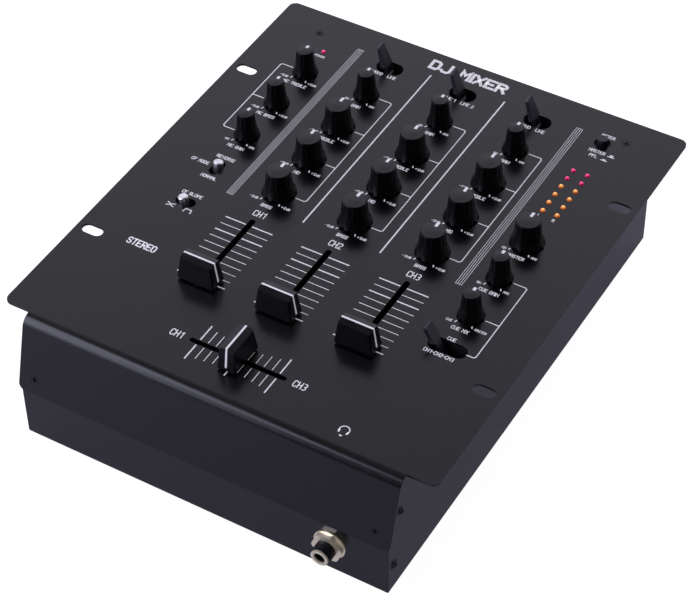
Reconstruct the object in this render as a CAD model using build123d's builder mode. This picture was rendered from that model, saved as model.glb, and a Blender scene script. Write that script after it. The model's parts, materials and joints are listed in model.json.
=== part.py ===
"""Three-channel DJ mixer, 10 inches wide, as separate pieces.

Millimetres. The origin is on the table under the middle of the mixer: +X to the right, +Y to the rear, +Z up.
"""

import os
from math import asin, atan, cos, degrees, radians, sin

from build123d import *

os.makedirs("parts", exist_ok=True)

# ---------------------------------------------------------------- driving dimensions

SHEET = 1.2  # steel sheet of the whole case
PANEL_WIDTH = 254.0
PANEL_FRONT = -132.0  # front edge of the ears, where the bend of the panel starts
PANEL_BACK = 154.0
PANEL_TOP = 79.0
PANEL_CORNER = 4.5
EAR_SLOT_X = 117.2
EAR_SLOT_Y = (-65.9, 87.4)
EAR_SLOT_LENGTH = 12.4
EAR_SLOT_WIDTH = 6.7

FLAP_WIDTH = 221.4  # sloping front of the panel
FLAP_LEAN = radians(15.4)  # from the vertical, the bottom edge forward
FLAP_BOTTOM = 37.5
BEND_RADIUS = 7.0

BODY_WIDTH = 219.0
BODY_FLOOR = 4.0  # underside of the base, above the table
BODY_FRONT = -147.4
BODY_REAR = 146.4
REACH = 158.0  # furthest point of the jacks, front and rear alike

COLUMN_MIC = -87.0
COLUMN_CHANNELS = (-47.0, 0.0, 47.0)
COLUMN_MASTER = 86.5
ROW_PITCH = 31.13
ROW_FIRST = 101.8
ROWS = [ROW_FIRST - ROW_PITCH * i for i in range(5)]
INPUT_ROW = 128.4
FADER_Y = -45.6
CROSSFADER_Y = -107.6
FADER_TRAVEL = 46.8
CUE_LEVER = (87.2, -48.6)
MODE_LEVER_Y = 8.3
SLOPE_LEVER_Y = -23.1
SMALL_LEVER_X = -86.5
METER_X = (82.5, 91.0)
METER_ROWS = [ROW_FIRST - 0.3 - 7.24 * i for i in range(6)]
METER_BUTTON = (86.4, 129.4)
POWER_LED = (-87.2, 122.3)

PHONES_X = 76.0
PHONES_Z = 22.4

BOARD = 1.6  # thickness of every circuit board
SHAFT_R = 3.0
RUNNING = 0.05  # radial clearance of everything that turns or slides in a hole
FIT = 0.1  # radial clearance of everything fixed in a hole

# Openings in the panel: length and width of the long ones.
INPUT_HOLE = (16.4, 10.6)
CUE_HOLE = (22.0, 9.2)
SMALL_LEVER_HOLE = (12.0, 6.6)
CHANNEL_SLOT = (57.0, 3.4)
CROSSFADER_SLOT = (57.0, 2.9)
BUTTON_HOLE_R = 4.6
BUSHING_R = 3.5  # of a potentiometer
LED_R = 1.5

# ---------------------------------------------------------------- sizes worked out from those

PANEL_UNDER = PANEL_TOP - SHEET
FLOOR_TOP = BODY_FLOOR + SHEET
WALL_IN = BODY_WIDTH / 2 - SHEET
POT_HEIGHT = 7.0
CONTROL_TOP = PANEL_UNDER - POT_HEIGHT  # upper face of the control board
FADER_DEPTH = 12.0
FADER_BOARD_TOP = PANEL_UNDER - FADER_DEPTH
IO_TOP = 24.0

FLAP_DOWN = Vector(0, -sin(FLAP_LEAN), -cos(FLAP_LEAN))
FLAP_OUT = Vector(0, -cos(FLAP_LEAN), sin(FLAP_LEAN))
BEND_CENTRE = Vector(0, PANEL_FRONT, PANEL_TOP - BEND_RADIUS)
FLAP_START = BEND_CENTRE + FLAP_OUT * BEND_RADIUS
FLAP_LENGTH = (FLAP_START.Z - FLAP_BOTTOM) / cos(FLAP_LEAN)

SMALL = "small"
LARGE = "large"
KNOBS = {
    "knob_mic_treble": (COLUMN_MIC, ROWS[0], SMALL),
    "knob_mic_bass": (COLUMN_MIC, ROWS[1], SMALL),
    "knob_mic_gain": (COLUMN_MIC, ROWS[2], SMALL),
    "knob_master": (COLUMN_MASTER, ROWS[2], LARGE),
    "knob_cue_gain": (COLUMN_MASTER, ROWS[3], SMALL),
    "knob_cue_mix": (COLUMN_MASTER, ROWS[4], SMALL),
}
CHANNEL_ROWS = (("gain", SMALL), ("treble", LARGE), ("mid", LARGE), ("bass", LARGE))
for channel, column in enumerate(COLUMN_CHANNELS, start=1):
    for (control, size), row in zip(CHANNEL_ROWS, ROWS):
        KNOBS[f"knob_channel_{channel}_{control}"] = (column, row, size)
KNOB_SPOTS = [(x, y) for x, y, _ in KNOBS.values()]

CASE_SCREW_R = 1.6
CASE_SCREW_HEAD_R = 2.75
CASE_SCREW_LENGTH = 6.0
SIDE_HEAD_R = 3.1
SIDE_HEAD_HEIGHT = 1.5
TOP_SCREWS = [(-98.0, 135.7), (98.0, 135.7)]
FLAP_SCREW_X = 101.2
FLAP_SCREW_DROP = FLAP_LENGTH - (46.2 - FLAP_BOTTOM) / cos(FLAP_LEAN)
SIDE_SCREWS = [(-136.1, 55.9), (-142.3, 21.6)]
TOP_SCREW_PLANES = [Plane(origin=(x, y, PANEL_TOP)) for x, y in TOP_SCREWS]
FLAP_SCREW_PLANES = [
    Plane(origin=FLAP_START + FLAP_DOWN * FLAP_SCREW_DROP + Vector(x, 0, 0), x_dir=(1, 0, 0), z_dir=FLAP_OUT)
    for x in (-FLAP_SCREW_X, FLAP_SCREW_X)
]
SIDE_SCREW_PLANES = [
    Plane(origin=(side * BODY_WIDTH / 2, y, z), x_dir=(0, 1, 0), z_dir=(side, 0, 0))
    for side in (-1, 1)
    for y, z in SIDE_SCREWS
]

FOOT_SPOTS = [(x, y) for x in (-88.0, 88.0) for y in (-120.0, 120.0)]
REAR_FLANGE_SPOTS = [(x, 138.0) for x in (-70.0, 0.0, 70.0)]
IO_SPOTS = [(x, y) for x in (-95.0, 95.0) for y in (70.0, 116.0)]
CONTROL_SPOTS = [(x, y) for x in (-98.0, 98.0) for y in (-10.0, 55.0, 112.0)]
FADER_BOARD_SPOTS = [(x, y) for x in (-60.0, 66.0) for y in (-96.0, -12.0)]
STANDOFF_R = 3.0
PAN_SCREW_R = 1.5
PAN_HEAD_R = 2.8
PAN_HEAD_HEIGHT = 1.8
PAN_SCREW_LENGTH = 6.0
FOOT_R = 7.5
FOOT_RECESS = 2.4  # seat of the screw head inside a foot


def keep(piece, name):
    """Name a finished piece and write it to its own file."""
    piece.part.label = name
    export_step(piece.part, f"parts/{name}.step")


def upright(x, y, height=PANEL_TOP):
    """A vertical plane through a point, seen from the front: its own x is +X and its own y is +Z."""
    return Plane(origin=(x, y, height), x_dir=(1, 0, 0), z_dir=(0, -1, 0))


def vertical_axis(x, y):
    return Axis((x, y, 0), (0, 0, 1))


def dome(rim_r, rim_z, top_z):
    """Arc of a spherical cap, from its rim to its top on the axis, in the plane of a revolved section."""
    rise = top_z - rim_z
    radius = (rim_r**2 + rise**2) / (2 * rise)
    start = 90.0 - degrees(asin(rim_r / radius))
    return CenterArc((0, top_z - radius), radius, start, 90.0 - start)


# ---------------------------------------------------------------- case


def flap_strip(inner, outer, start, length):
    """Closed outline of a sheet that follows the flap, between two distances inside its outer face."""
    near = FLAP_START - FLAP_OUT * inner + FLAP_DOWN * start
    far = FLAP_START - FLAP_OUT * outer + FLAP_DOWN * start
    ends = [near, near + FLAP_DOWN * length, far + FLAP_DOWN * length, far]
    return [(point.Y, point.Z) for point in ends]


def build_top_panel():
    bend_angle = 90.0 - degrees(FLAP_LEAN)
    with BuildPart() as panel:
        with BuildSketch(Plane.XY.offset(PANEL_UNDER)):
            with Locations((0, (PANEL_FRONT + PANEL_BACK) / 2)):
                RectangleRounded(PANEL_WIDTH, PANEL_BACK - PANEL_FRONT, PANEL_CORNER)
        extrude(amount=SHEET)
        with BuildSketch(Plane.YZ):
            with BuildLine():
                centre = (BEND_CENTRE.Y, BEND_CENTRE.Z)
                outer = CenterArc(centre, BEND_RADIUS, 90, bend_angle)
                inner = CenterArc(centre, BEND_RADIUS - SHEET, 90, bend_angle)
                Line(outer @ 0, inner @ 0)
                corners = flap_strip(0, SHEET, 0, FLAP_LENGTH)
                Polyline(outer @ 1, corners[1], corners[2], inner @ 1)
            make_face()
        extrude(amount=FLAP_WIDTH / 2, both=True)
        short_edges = panel.edges().filter_by(lambda e: e.length < 2 * SHEET)
        low_corners = short_edges.filter_by(lambda e: e.center().Z < FLAP_BOTTOM + SHEET)
        fillet(low_corners, radius=3.5)

        with BuildSketch(Plane.XY.offset(PANEL_TOP)):
            with Locations(*KNOB_SPOTS):
                Circle(BUSHING_R + FIT)
            with Locations(*[(x, INPUT_ROW) for x in COLUMN_CHANNELS]):
                SlotOverall(*INPUT_HOLE)
            with Locations(CUE_LEVER):
                SlotOverall(*CUE_HOLE)
            with Locations((SMALL_LEVER_X, MODE_LEVER_Y)):
                SlotOverall(*SMALL_LEVER_HOLE, rotation=90)
            with Locations((SMALL_LEVER_X, SLOPE_LEVER_Y)):
                SlotOverall(*SMALL_LEVER_HOLE)
            with Locations(METER_BUTTON):
                Circle(BUTTON_HOLE_R)
            with Locations(*[(x, y) for x in METER_X for y in METER_ROWS], POWER_LED):
                Circle(LED_R + RUNNING)
            with Locations(*[(x, FADER_Y) for x in COLUMN_CHANNELS]):
                SlotOverall(*CHANNEL_SLOT, rotation=90)
            with Locations((0, CROSSFADER_Y)):
                SlotOverall(*CROSSFADER_SLOT)
            with Locations(*[(x, y) for x in (-EAR_SLOT_X, EAR_SLOT_X) for y in EAR_SLOT_Y]):
                SlotOverall(EAR_SLOT_LENGTH, EAR_SLOT_WIDTH)
        extrude(amount=-SHEET, mode=Mode.SUBTRACT)
        with Locations(*TOP_SCREW_PLANES, *FLAP_SCREW_PLANES):
            CounterSinkHole(CASE_SCREW_R + FIT, CASE_SCREW_HEAD_R + FIT, depth=SHEET, counter_sink_angle=90)
    keep(panel, "top_panel")


def side_outline():
    """Side wall seen from the right: it stops just behind the flap and the bend of the panel."""
    gap = SHEET + 0.1
    upper = FLAP_START - FLAP_OUT * gap
    drop = (upper.Y - BODY_FRONT) / sin(FLAP_LEAN)
    knee = upper + FLAP_DOWN * drop
    return [
        (BODY_REAR, BODY_FLOOR),
        (BODY_FRONT, BODY_FLOOR),
        (BODY_FRONT, knee.Z),
        (upper.Y, upper.Z),
        (PANEL_FRONT + 2.0, PANEL_UNDER),
        (BODY_REAR, PANEL_UNDER),
    ]


def build_base_tray():
    with BuildPart() as tray:
        for side in (-1, 1):
            with BuildSketch(Plane.YZ.offset(side * BODY_WIDTH / 2)):
                Polygon(*side_outline(), align=None)
            extrude(amount=-side * SHEET)
        with BuildSketch(Plane.XY.offset(BODY_FLOOR)):
            with Locations((0, (BODY_FRONT + BODY_REAR) / 2)):
                Rectangle(BODY_WIDTH, BODY_REAR - BODY_FRONT)
        extrude(amount=SHEET)
        lower_sides = tray.edges().filter_by(Axis.Y).group_by(Axis.Z)[0]
        fillet(lower_sides, radius=1.1)
        with BuildSketch(Plane.XY.offset(FLOOR_TOP)):
            with Locations(*FOOT_SPOTS, *REAR_FLANGE_SPOTS, *IO_SPOTS):
                Circle(PAN_SCREW_R + FIT)
            for x in (-45.0, 45.0):
                with Locations((x, 20.0)):
                    with GridLocations(8.0, 0, 5, 1):
                        SlotOverall(36.0, 3.0, rotation=90)
        extrude(amount=-SHEET, mode=Mode.SUBTRACT)
        with Locations(*SIDE_SCREW_PLANES):
            Hole(CASE_SCREW_R + FIT, depth=SHEET)
    keep(tray, "base_tray")


def build_front_plate():
    """Lower front, which also runs up behind the flap, with a return at each end for the side screws."""
    gap = SHEET + 0.1
    outline = side_outline()
    knee = outline[2]
    top = FLAP_START - FLAP_OUT * gap + FLAP_DOWN * 2.0
    return_depth = 14.0
    half = WALL_IN - 0.05
    with BuildPart() as plate:
        with BuildSketch(Plane.YZ):
            with BuildLine():
                front = Polyline((BODY_FRONT, FLOOR_TOP), knee, (top.Y, top.Z))
                offset(front, amount=SHEET, side=Side.RIGHT, closed=True, mode=Mode.REPLACE)
            make_face()
        extrude(amount=half, both=True)
        for side in (-1, 1):
            with BuildSketch(Plane.YZ.offset(side * half)):
                Polygon(
                    (BODY_FRONT + SHEET / 2, FLOOR_TOP + 2.0),
                    (knee[0] + SHEET / 2, knee[1]),
                    (top.Y + SHEET / 2, top.Z - 2.0),
                    (top.Y + return_depth, top.Z - 2.0),
                    (knee[0] + return_depth, knee[1]),
                    (BODY_FRONT + return_depth, FLOOR_TOP + 2.0),
                    align=None,
                )
            extrude(amount=-side * SHEET)
        with Locations(*FLAP_SCREW_PLANES):
            Hole(CASE_SCREW_R, depth=3 * SHEET)
        with Locations(*SIDE_SCREW_PLANES):
            Hole(CASE_SCREW_R, depth=3 * SHEET)
        with Locations(Location((PHONES_X, BODY_FRONT, PHONES_Z), (90, 0, 0))):
            Hole(PHONES_BUSHING_R + 0.1, depth=3 * SHEET)
    keep(plate, "front_plate")


def build_rear_panel():
    half = WALL_IN - 0.05
    flange = 14.0
    tab = 20.0
    with BuildPart() as rear:
        with BuildSketch(upright(0, BODY_REAR, 0)):
            with Locations((0, (FLOOR_TOP + PANEL_UNDER) / 2)):
                Rectangle(2 * half, PANEL_UNDER - FLOOR_TOP)
        extrude(amount=SHEET)
        with BuildSketch(Plane.XY.offset(FLOOR_TOP)):
            with Locations((0, BODY_REAR - flange / 2)):
                Rectangle(2 * half - 2.0, flange)
        extrude(amount=SHEET)
        with BuildSketch(Plane.XY.offset(PANEL_UNDER)):
            with Locations(*[(x, BODY_REAR - tab / 2) for x, _ in TOP_SCREWS]):
                Rectangle(12.0, tab)
        extrude(amount=-SHEET)
        with BuildSketch(Plane.XY.offset(PANEL_UNDER)):
            with Locations(*TOP_SCREWS):
                Circle(CASE_SCREW_R)
        extrude(amount=-SHEET, mode=Mode.SUBTRACT)
        with BuildSketch(Plane.XY.offset(FLOOR_TOP)):
            with Locations(*REAR_FLANGE_SPOTS):
                Circle(PAN_SCREW_R)
        extrude(amount=SHEET, mode=Mode.SUBTRACT)
        with BuildSketch(upright(0, BODY_REAR, 0)):
            with Locations(*PHONO_SPOTS):
                Circle(PHONO_COLLAR_R + FIT)
            with Locations(MIC_SPOT):
                Circle(PHONES_BUSHING_R + FIT)
            with Locations(GROUND_SPOT):
                Circle(GROUND_R + FIT)
            with Locations(POWER_SPOT):
                Circle(POWER_R + FIT)
        extrude(amount=SHEET, mode=Mode.SUBTRACT)
    keep(rear, "rear_panel")


def screw_solid(plane, head_r, head_depth, shank_r, length, raised):
    """One cross-head screw on a plane: a flush cone when raised is 0, otherwise a domed head above it."""
    with BuildPart() as screw:
        section = Plane(origin=plane.origin, x_dir=plane.x_dir, z_dir=-plane.y_dir)
        with BuildSketch(section):
            with BuildLine():
                if raised:
                    Polyline((0, raised), (0, -length), (shank_r, -length), (shank_r, 0), (head_r, 0))
                    RadiusArc((head_r, 0), (0, raised), -head_r * 1.9)
                else:
                    tip = (shank_r, -head_depth)
                    Polyline((0, 0), (0, -length), (shank_r, -length), tip, (head_r, 0), close=True)
            make_face()
        revolve(axis=Axis(plane.origin, plane.z_dir))
        with BuildSketch(plane.offset(raised)):
            Rectangle(0.7, head_r * 1.25)
            Rectangle(head_r * 1.25, 0.7)
        extrude(amount=-max(0.8, raised * 0.7), mode=Mode.SUBTRACT)
    return screw.part


def build_case_screws():
    """Flush screws in the panel and the flap, domed ones in the side walls."""
    head_depth = CASE_SCREW_HEAD_R - CASE_SCREW_R
    with BuildPart() as screws:
        for plane in (*TOP_SCREW_PLANES, *FLAP_SCREW_PLANES):
            add(screw_solid(plane, CASE_SCREW_HEAD_R, head_depth, CASE_SCREW_R, CASE_SCREW_LENGTH, 0))
        for plane in SIDE_SCREW_PLANES:
            add(screw_solid(plane, SIDE_HEAD_R, 0, CASE_SCREW_R, CASE_SCREW_LENGTH, SIDE_HEAD_HEIGHT))
    keep(screws, "case_screws")


def downward(x, y, z):
    """A plane at a point that looks down."""
    return Plane(origin=(x, y, z), x_dir=(1, 0, 0), z_dir=(0, 0, -1))


def build_pan_screws():
    """Feet, rear flange, input board, control board and fader board are held by the same small screw."""
    planes = [downward(x, y, FOOT_RECESS) for x, y in FOOT_SPOTS]
    planes += [downward(x, y, BODY_FLOOR) for x, y in REAR_FLANGE_SPOTS]
    planes += [Plane(origin=(x, y, IO_TOP)) for x, y in IO_SPOTS]
    planes += [downward(x, y, CONTROL_TOP - BOARD) for x, y in CONTROL_SPOTS]
    planes += [downward(x, y, FADER_BOARD_TOP - BOARD) for x, y in FADER_BOARD_SPOTS]
    with BuildPart() as screws:
        for plane in planes:
            add(screw_solid(plane, PAN_HEAD_R, 0, PAN_SCREW_R, PAN_SCREW_LENGTH, PAN_HEAD_HEIGHT))
    keep(screws, "pan_screws")


def build_rubber_feet():
    with BuildPart() as feet:
        with BuildSketch(Plane.XY.offset(BODY_FLOOR)):
            with Locations(*FOOT_SPOTS):
                Circle(FOOT_R)
        extrude(amount=-BODY_FLOOR, taper=8)
        with BuildSketch(Plane.XY):
            with Locations(*FOOT_SPOTS):
                Circle(PAN_HEAD_R + 0.6)
        extrude(amount=FOOT_RECESS, mode=Mode.SUBTRACT)
        with BuildSketch(Plane.XY):
            with Locations(*FOOT_SPOTS):
                Circle(PAN_SCREW_R)
        extrude(amount=BODY_FLOOR, mode=Mode.SUBTRACT)
    keep(feet, "rubber_feet")


# ---------------------------------------------------------------- knobs and potentiometers

BUSHING_TOP = 2.5  # above the panel
POT_SIDE = 12.0
NUT_ACROSS = 9.0
NUT_HEIGHT = 2.0
SHAFT_FOOT = CONTROL_TOP + 0.9  # lower end of every potentiometer shaft


def build_pot_bodies():
    with BuildPart() as pots:
        with BuildSketch(Plane.XY.offset(CONTROL_TOP)):
            with Locations(*KNOB_SPOTS):
                RectangleRounded(POT_SIDE, POT_SIDE, 1.0)
        extrude(amount=POT_HEIGHT)
        with BuildSketch(Plane.XY.offset(PANEL_UNDER)):
            with Locations(*KNOB_SPOTS):
                Circle(BUSHING_R)
        extrude(amount=SHEET + BUSHING_TOP)
        with BuildSketch(Plane.XY.offset(PANEL_TOP + BUSHING_TOP)):
            with Locations(*KNOB_SPOTS):
                Circle(SHAFT_R + RUNNING)
        extrude(amount=SHAFT_FOOT - 0.2 - PANEL_TOP - BUSHING_TOP, mode=Mode.SUBTRACT)
    keep(pots, "pot_bodies")


def build_pot_nuts():
    with BuildPart() as nuts:
        with BuildSketch(Plane.XY.offset(PANEL_TOP)):
            with Locations(*KNOB_SPOTS):
                RegularPolygon(NUT_ACROSS / 2, 6, major_radius=False)
                Circle(BUSHING_R, mode=Mode.SUBTRACT)
        extrude(amount=NUT_HEIGHT)
    keep(nuts, "pot_nuts")


# Radii of the two knob sizes, from the skirt up.
KNOB_SIZES = {
    SMALL: {"skirt": 7.45, "waist": 5.75, "top": 4.7, "disc": 4.0, "height": 16.2, "cavity": 5.4},
    LARGE: {"skirt": 9.65, "waist": 7.6, "top": 6.75, "disc": 5.9, "height": 15.8, "cavity": 5.8},
}
KNOB_GAP = 0.5  # between a knob and the panel
KNOB_WAIST_Z = 5.2
KNOB_FLUTES = 12


def build_knob(name, x, y, size):
    """A fluted knob with a flared skirt, hollow over the nut, and the shaft that it is pressed on."""
    dims = KNOB_SIZES[size]
    skirt, waist, top, disc, height = (dims[key] for key in ("skirt", "waist", "top", "disc", "height"))
    cavity_top = BUSHING_TOP + 0.4
    bore_top = height - 3.3
    bore_r = SHAFT_R + 0.02
    shoulder = height - 1.1
    with BuildPart() as knob:
        with BuildSketch(upright(x, y)):
            with BuildLine():
                Polyline((dims["cavity"], KNOB_GAP), (skirt - 0.3, KNOB_GAP), (skirt, KNOB_GAP + 0.4))
                flare_middle = ((skirt + waist) / 2 - 0.25, 2.9)
                ThreePointArc((skirt, KNOB_GAP + 0.4), flare_middle, (waist, KNOB_WAIST_Z))
                Line((waist, KNOB_WAIST_Z), (top, shoulder))
                ThreePointArc((top, shoulder), (top - 0.2, height - 0.5), (disc, height - 0.25))
                crown = dome(disc, height - 0.25, height)
                Polyline(
                    crown @ 1,
                    (0, bore_top),
                    (bore_r, bore_top),
                    (bore_r, cavity_top),
                    (dims["cavity"], cavity_top),
                    (dims["cavity"], KNOB_GAP),
                )
            make_face()
        revolve(axis=vertical_axis(x, y))

        body_length = shoulder - KNOB_WAIST_Z
        slope = (waist - top) / body_length
        flute_r = 1.5
        flute_depth = 0.3
        middle_r = (waist + top) / 2 - flute_depth + flute_r
        with Locations((x, y, PANEL_TOP + (shoulder + KNOB_WAIST_Z) / 2 + 0.6)):
            with PolarLocations(middle_r, KNOB_FLUTES, start_angle=15):
                tilt = degrees(atan(slope))
                Cylinder(flute_r, body_length + 1.5, rotation=(0, -tilt, 0), mode=Mode.SUBTRACT)
        scallop_r = 1.9
        with Locations((x, y, PANEL_TOP)):
            with PolarLocations(skirt - 0.75 + scallop_r, KNOB_FLUTES, start_angle=15):
                Cylinder(scallop_r, 2 * KNOB_WAIST_Z, mode=Mode.SUBTRACT)

        with BuildSketch(Plane.XY.offset(SHAFT_FOOT)):
            with Locations((x, y)):
                Circle(SHAFT_R)
        extrude(amount=PANEL_TOP + bore_top - 0.2 - SHAFT_FOOT)
    keep(knob, name)


# ---------------------------------------------------------------- faders

FADER_HALF_LENGTH = 36.0
FADER_HALF_WIDTH = 6.5
FADER_WALL = 0.8
FADER_END = 3.0
ROD_R = 1.0
ROD_OFFSET = 3.5
ROD_DROP = 6.0  # below the panel's top face
STEM = (4.0, 1.2)
CHANNEL_TRAVEL_DIR = (0, 1, 0)
CROSS_TRAVEL_DIR = (1, 0, 0)
FADERS = {
    "fader_channel_1": (COLUMN_CHANNELS[0], FADER_Y, CHANNEL_TRAVEL_DIR, -FADER_TRAVEL / 2),
    "fader_channel_2": (COLUMN_CHANNELS[1], FADER_Y, CHANNEL_TRAVEL_DIR, -FADER_TRAVEL / 2),
    "fader_channel_3": (COLUMN_CHANNELS[2], FADER_Y, CHANNEL_TRAVEL_DIR, -FADER_TRAVEL / 2),
    "crossfader": (0.0, CROSSFADER_Y, CROSS_TRAVEL_DIR, 0.0),
}


def fader_plane(x, y, travel):
    """The panel's top face at a fader, with the plane's own x along the travel."""
    return Plane(origin=(x, y, PANEL_TOP), x_dir=travel, z_dir=(0, 0, 1))


def along_travel(flat):
    """Vertical plane that shows the travel sideways and the height upwards."""
    return Plane(origin=flat.origin, x_dir=flat.x_dir, z_dir=-flat.y_dir)


def across_travel(flat):
    return Plane(origin=flat.origin, x_dir=flat.y_dir, z_dir=flat.x_dir)


def build_fader_frames():
    inner = 2 * (FADER_HALF_WIDTH - FADER_WALL)
    with BuildPart() as frames:
        for x, y, travel, _ in FADERS.values():
            flat = fader_plane(x, y, travel)
            with BuildSketch(flat.offset(-SHEET)):
                Rectangle(2 * FADER_HALF_LENGTH, 2 * FADER_HALF_WIDTH)
            extrude(amount=-FADER_DEPTH)
            with BuildSketch(flat.offset(-SHEET - FADER_WALL)):
                Rectangle(2 * (FADER_HALF_LENGTH - FADER_END), inner)
            extrude(amount=-FADER_DEPTH + 2 * FADER_WALL, mode=Mode.SUBTRACT)
            with BuildSketch(flat.offset(-SHEET)):
                SlotOverall(CHANNEL_SLOT[0] - 1.5, CHANNEL_SLOT[1] - 0.2)
            extrude(amount=-FADER_WALL, mode=Mode.SUBTRACT)
            with BuildSketch(across_travel(flat)):
                with Locations((-ROD_OFFSET, -ROD_DROP), (ROD_OFFSET, -ROD_DROP)):
                    Circle(ROD_R)
            extrude(amount=FADER_HALF_LENGTH, both=True, mode=Mode.SUBTRACT)
    keep(frames, "fader_frames")


def build_fader_rods():
    with BuildPart() as rods:
        for x, y, travel, _ in FADERS.values():
            with BuildSketch(across_travel(fader_plane(x, y, travel))):
                with Locations((-ROD_OFFSET, -ROD_DROP), (ROD_OFFSET, -ROD_DROP)):
                    Circle(ROD_R)
            extrude(amount=FADER_HALF_LENGTH - 0.4, both=True)
    keep(rods, "fader_rods")


CAP_BOTTOM = 1.5
CAP_SHOULDER = 14.6
CAP_RIDGE = 15.7
CAP_HALF = (5.5, 4.2, 0.55)  # along the travel: at the bottom, at the shoulder, at the ridge
CAP_HALF_LENGTH = (11.1, 9.2)  # across the travel: at the bottom, at the ridge


def build_fader(name, x, y, travel, start):
    """Cap, and the tang with its carriage that slides on the two rods."""
    centre = fader_plane(x, y, travel)
    flat = Plane(origin=centre.origin + centre.x_dir * start, x_dir=centre.x_dir, z_dir=centre.z_dir)
    bottom, shoulder, ridge = CAP_HALF
    long_bottom, long_top = CAP_HALF_LENGTH
    socket_top = 12.0
    with BuildPart() as cap:
        with BuildSketch(along_travel(flat)):
            Polygon(
                (-bottom, CAP_BOTTOM),
                (bottom, CAP_BOTTOM),
                (shoulder, CAP_SHOULDER),
                (ridge, CAP_RIDGE),
                (-ridge, CAP_RIDGE),
                (-shoulder, CAP_SHOULDER),
                align=None,
            )
        extrude(amount=long_bottom + 1, both=True)
        with BuildSketch(across_travel(flat)):
            Polygon(
                (-long_bottom, CAP_BOTTOM),
                (long_bottom, CAP_BOTTOM),
                (long_top, CAP_RIDGE),
                (-long_top, CAP_RIDGE),
                align=None,
            )
        extrude(amount=bottom + 1, both=True, mode=Mode.INTERSECT)
        tall = cap.edges().filter_by(lambda e: abs(e.tangent_at(0.5).Z) > 0.9 and e.length > 10)
        fillet(tall, radius=0.7)
        with BuildSketch(flat.offset(CAP_BOTTOM)):
            with Locations((0, -6.3), (0, 6.3)):
                Rectangle(7.6, 6.2)
        extrude(amount=9.0, taper=3, mode=Mode.SUBTRACT)
        with BuildSketch(flat.offset(CAP_BOTTOM)):
            Rectangle(STEM[0] + 0.04, STEM[1] + 0.04)
        extrude(amount=socket_top - CAP_BOTTOM, mode=Mode.SUBTRACT)
    with BuildPart() as slider:
        with BuildSketch(flat.offset(-ROD_DROP - 2.2)):
            Rectangle(10.0, 2 * (FADER_HALF_WIDTH - FADER_WALL) - 0.8)
        extrude(amount=4.4)
        with BuildSketch(across_travel(flat)):
            with Locations((-ROD_OFFSET, -ROD_DROP), (ROD_OFFSET, -ROD_DROP)):
                Circle(ROD_R + RUNNING)
        extrude(amount=6.0, both=True, mode=Mode.SUBTRACT)
        with BuildSketch(flat.offset(-ROD_DROP)):
            Rectangle(*STEM)
        extrude(amount=ROD_DROP + socket_top - 0.2)
    with BuildPart() as fader:
        add(cap.part)
        add(slider.part)
    keep(fader, name)


# ---------------------------------------------------------------- switches and their levers

PIN_R = 0.9
HUB_R = 2.2
SWITCH_FLOOR = 0.8
SWITCH_WALL = 1.2
INPUT_CAVITY = (15.0, 9.8)
CUE_CAVITY = (21.0, 8.4)
SMALL_CAVITY = (11.4, 6.0)
INPUT_PIVOT = PANEL_TOP - 5.0
CUE_PIVOT = PANEL_TOP - 9.8
SMALL_PIVOT = PANEL_TOP - 5.2
INPUT_LEAN = radians(17.5)
CUE_LEAN = radians(30.5)
SMALL_LEAN = radians(10.5)
PADDLE_START = 1.0  # height of a paddle's lower end above the panel
PADDLE_BASE = 1.45  # half thickness of a paddle at its lower end, at its tip, and of its neck
PADDLE_TIP = 0.9
NECK = 0.9
SMALL_LEVER_R = 2.8
SMALL_LEVER_HEIGHT = 3.5


def switch_body(x, y, depth, cavity, pivot_z, long_axis):
    """A housing under the panel, open at the top, with holes for the ends of the lever's pivot pin."""
    long_side, short_side = cavity
    flat = Plane(origin=(x, y, PANEL_UNDER), x_dir=long_axis, z_dir=(0, 0, 1))
    with BuildPart() as body:
        with BuildSketch(flat):
            RectangleRounded(long_side + 2 * SWITCH_WALL, short_side + 2 * SWITCH_WALL, 0.8)
        extrude(amount=-depth)
        with BuildSketch(flat):
            Rectangle(long_side, short_side)
        extrude(amount=SWITCH_FLOOR - depth, mode=Mode.SUBTRACT)
        with BuildSketch(along_travel(flat)):
            with Locations((0, pivot_z - PANEL_UNDER)):
                Circle(PIN_R + RUNNING)
        extrude(amount=short_side, both=True, mode=Mode.SUBTRACT)
    return body.part


def build_switch_bodies():
    with BuildPart() as inputs:
        for x in COLUMN_CHANNELS:
            add(switch_body(x, INPUT_ROW, POT_HEIGHT, INPUT_CAVITY, INPUT_PIVOT, (1, 0, 0)))
    keep(inputs, "input_switch_bodies")
    with BuildPart() as cue:
        add(switch_body(*CUE_LEVER, FADER_DEPTH, CUE_CAVITY, CUE_PIVOT, (1, 0, 0)))
    keep(cue, "cue_switch_body")
    with BuildPart() as small:
        add(switch_body(SMALL_LEVER_X, MODE_LEVER_Y, POT_HEIGHT, SMALL_CAVITY, SMALL_PIVOT, (0, 1, 0)))
        add(switch_body(SMALL_LEVER_X, SLOPE_LEVER_Y, POT_HEIGHT, SMALL_CAVITY, SMALL_PIVOT, (1, 0, 0)))
    keep(small, "crossfader_switch_bodies")


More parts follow.
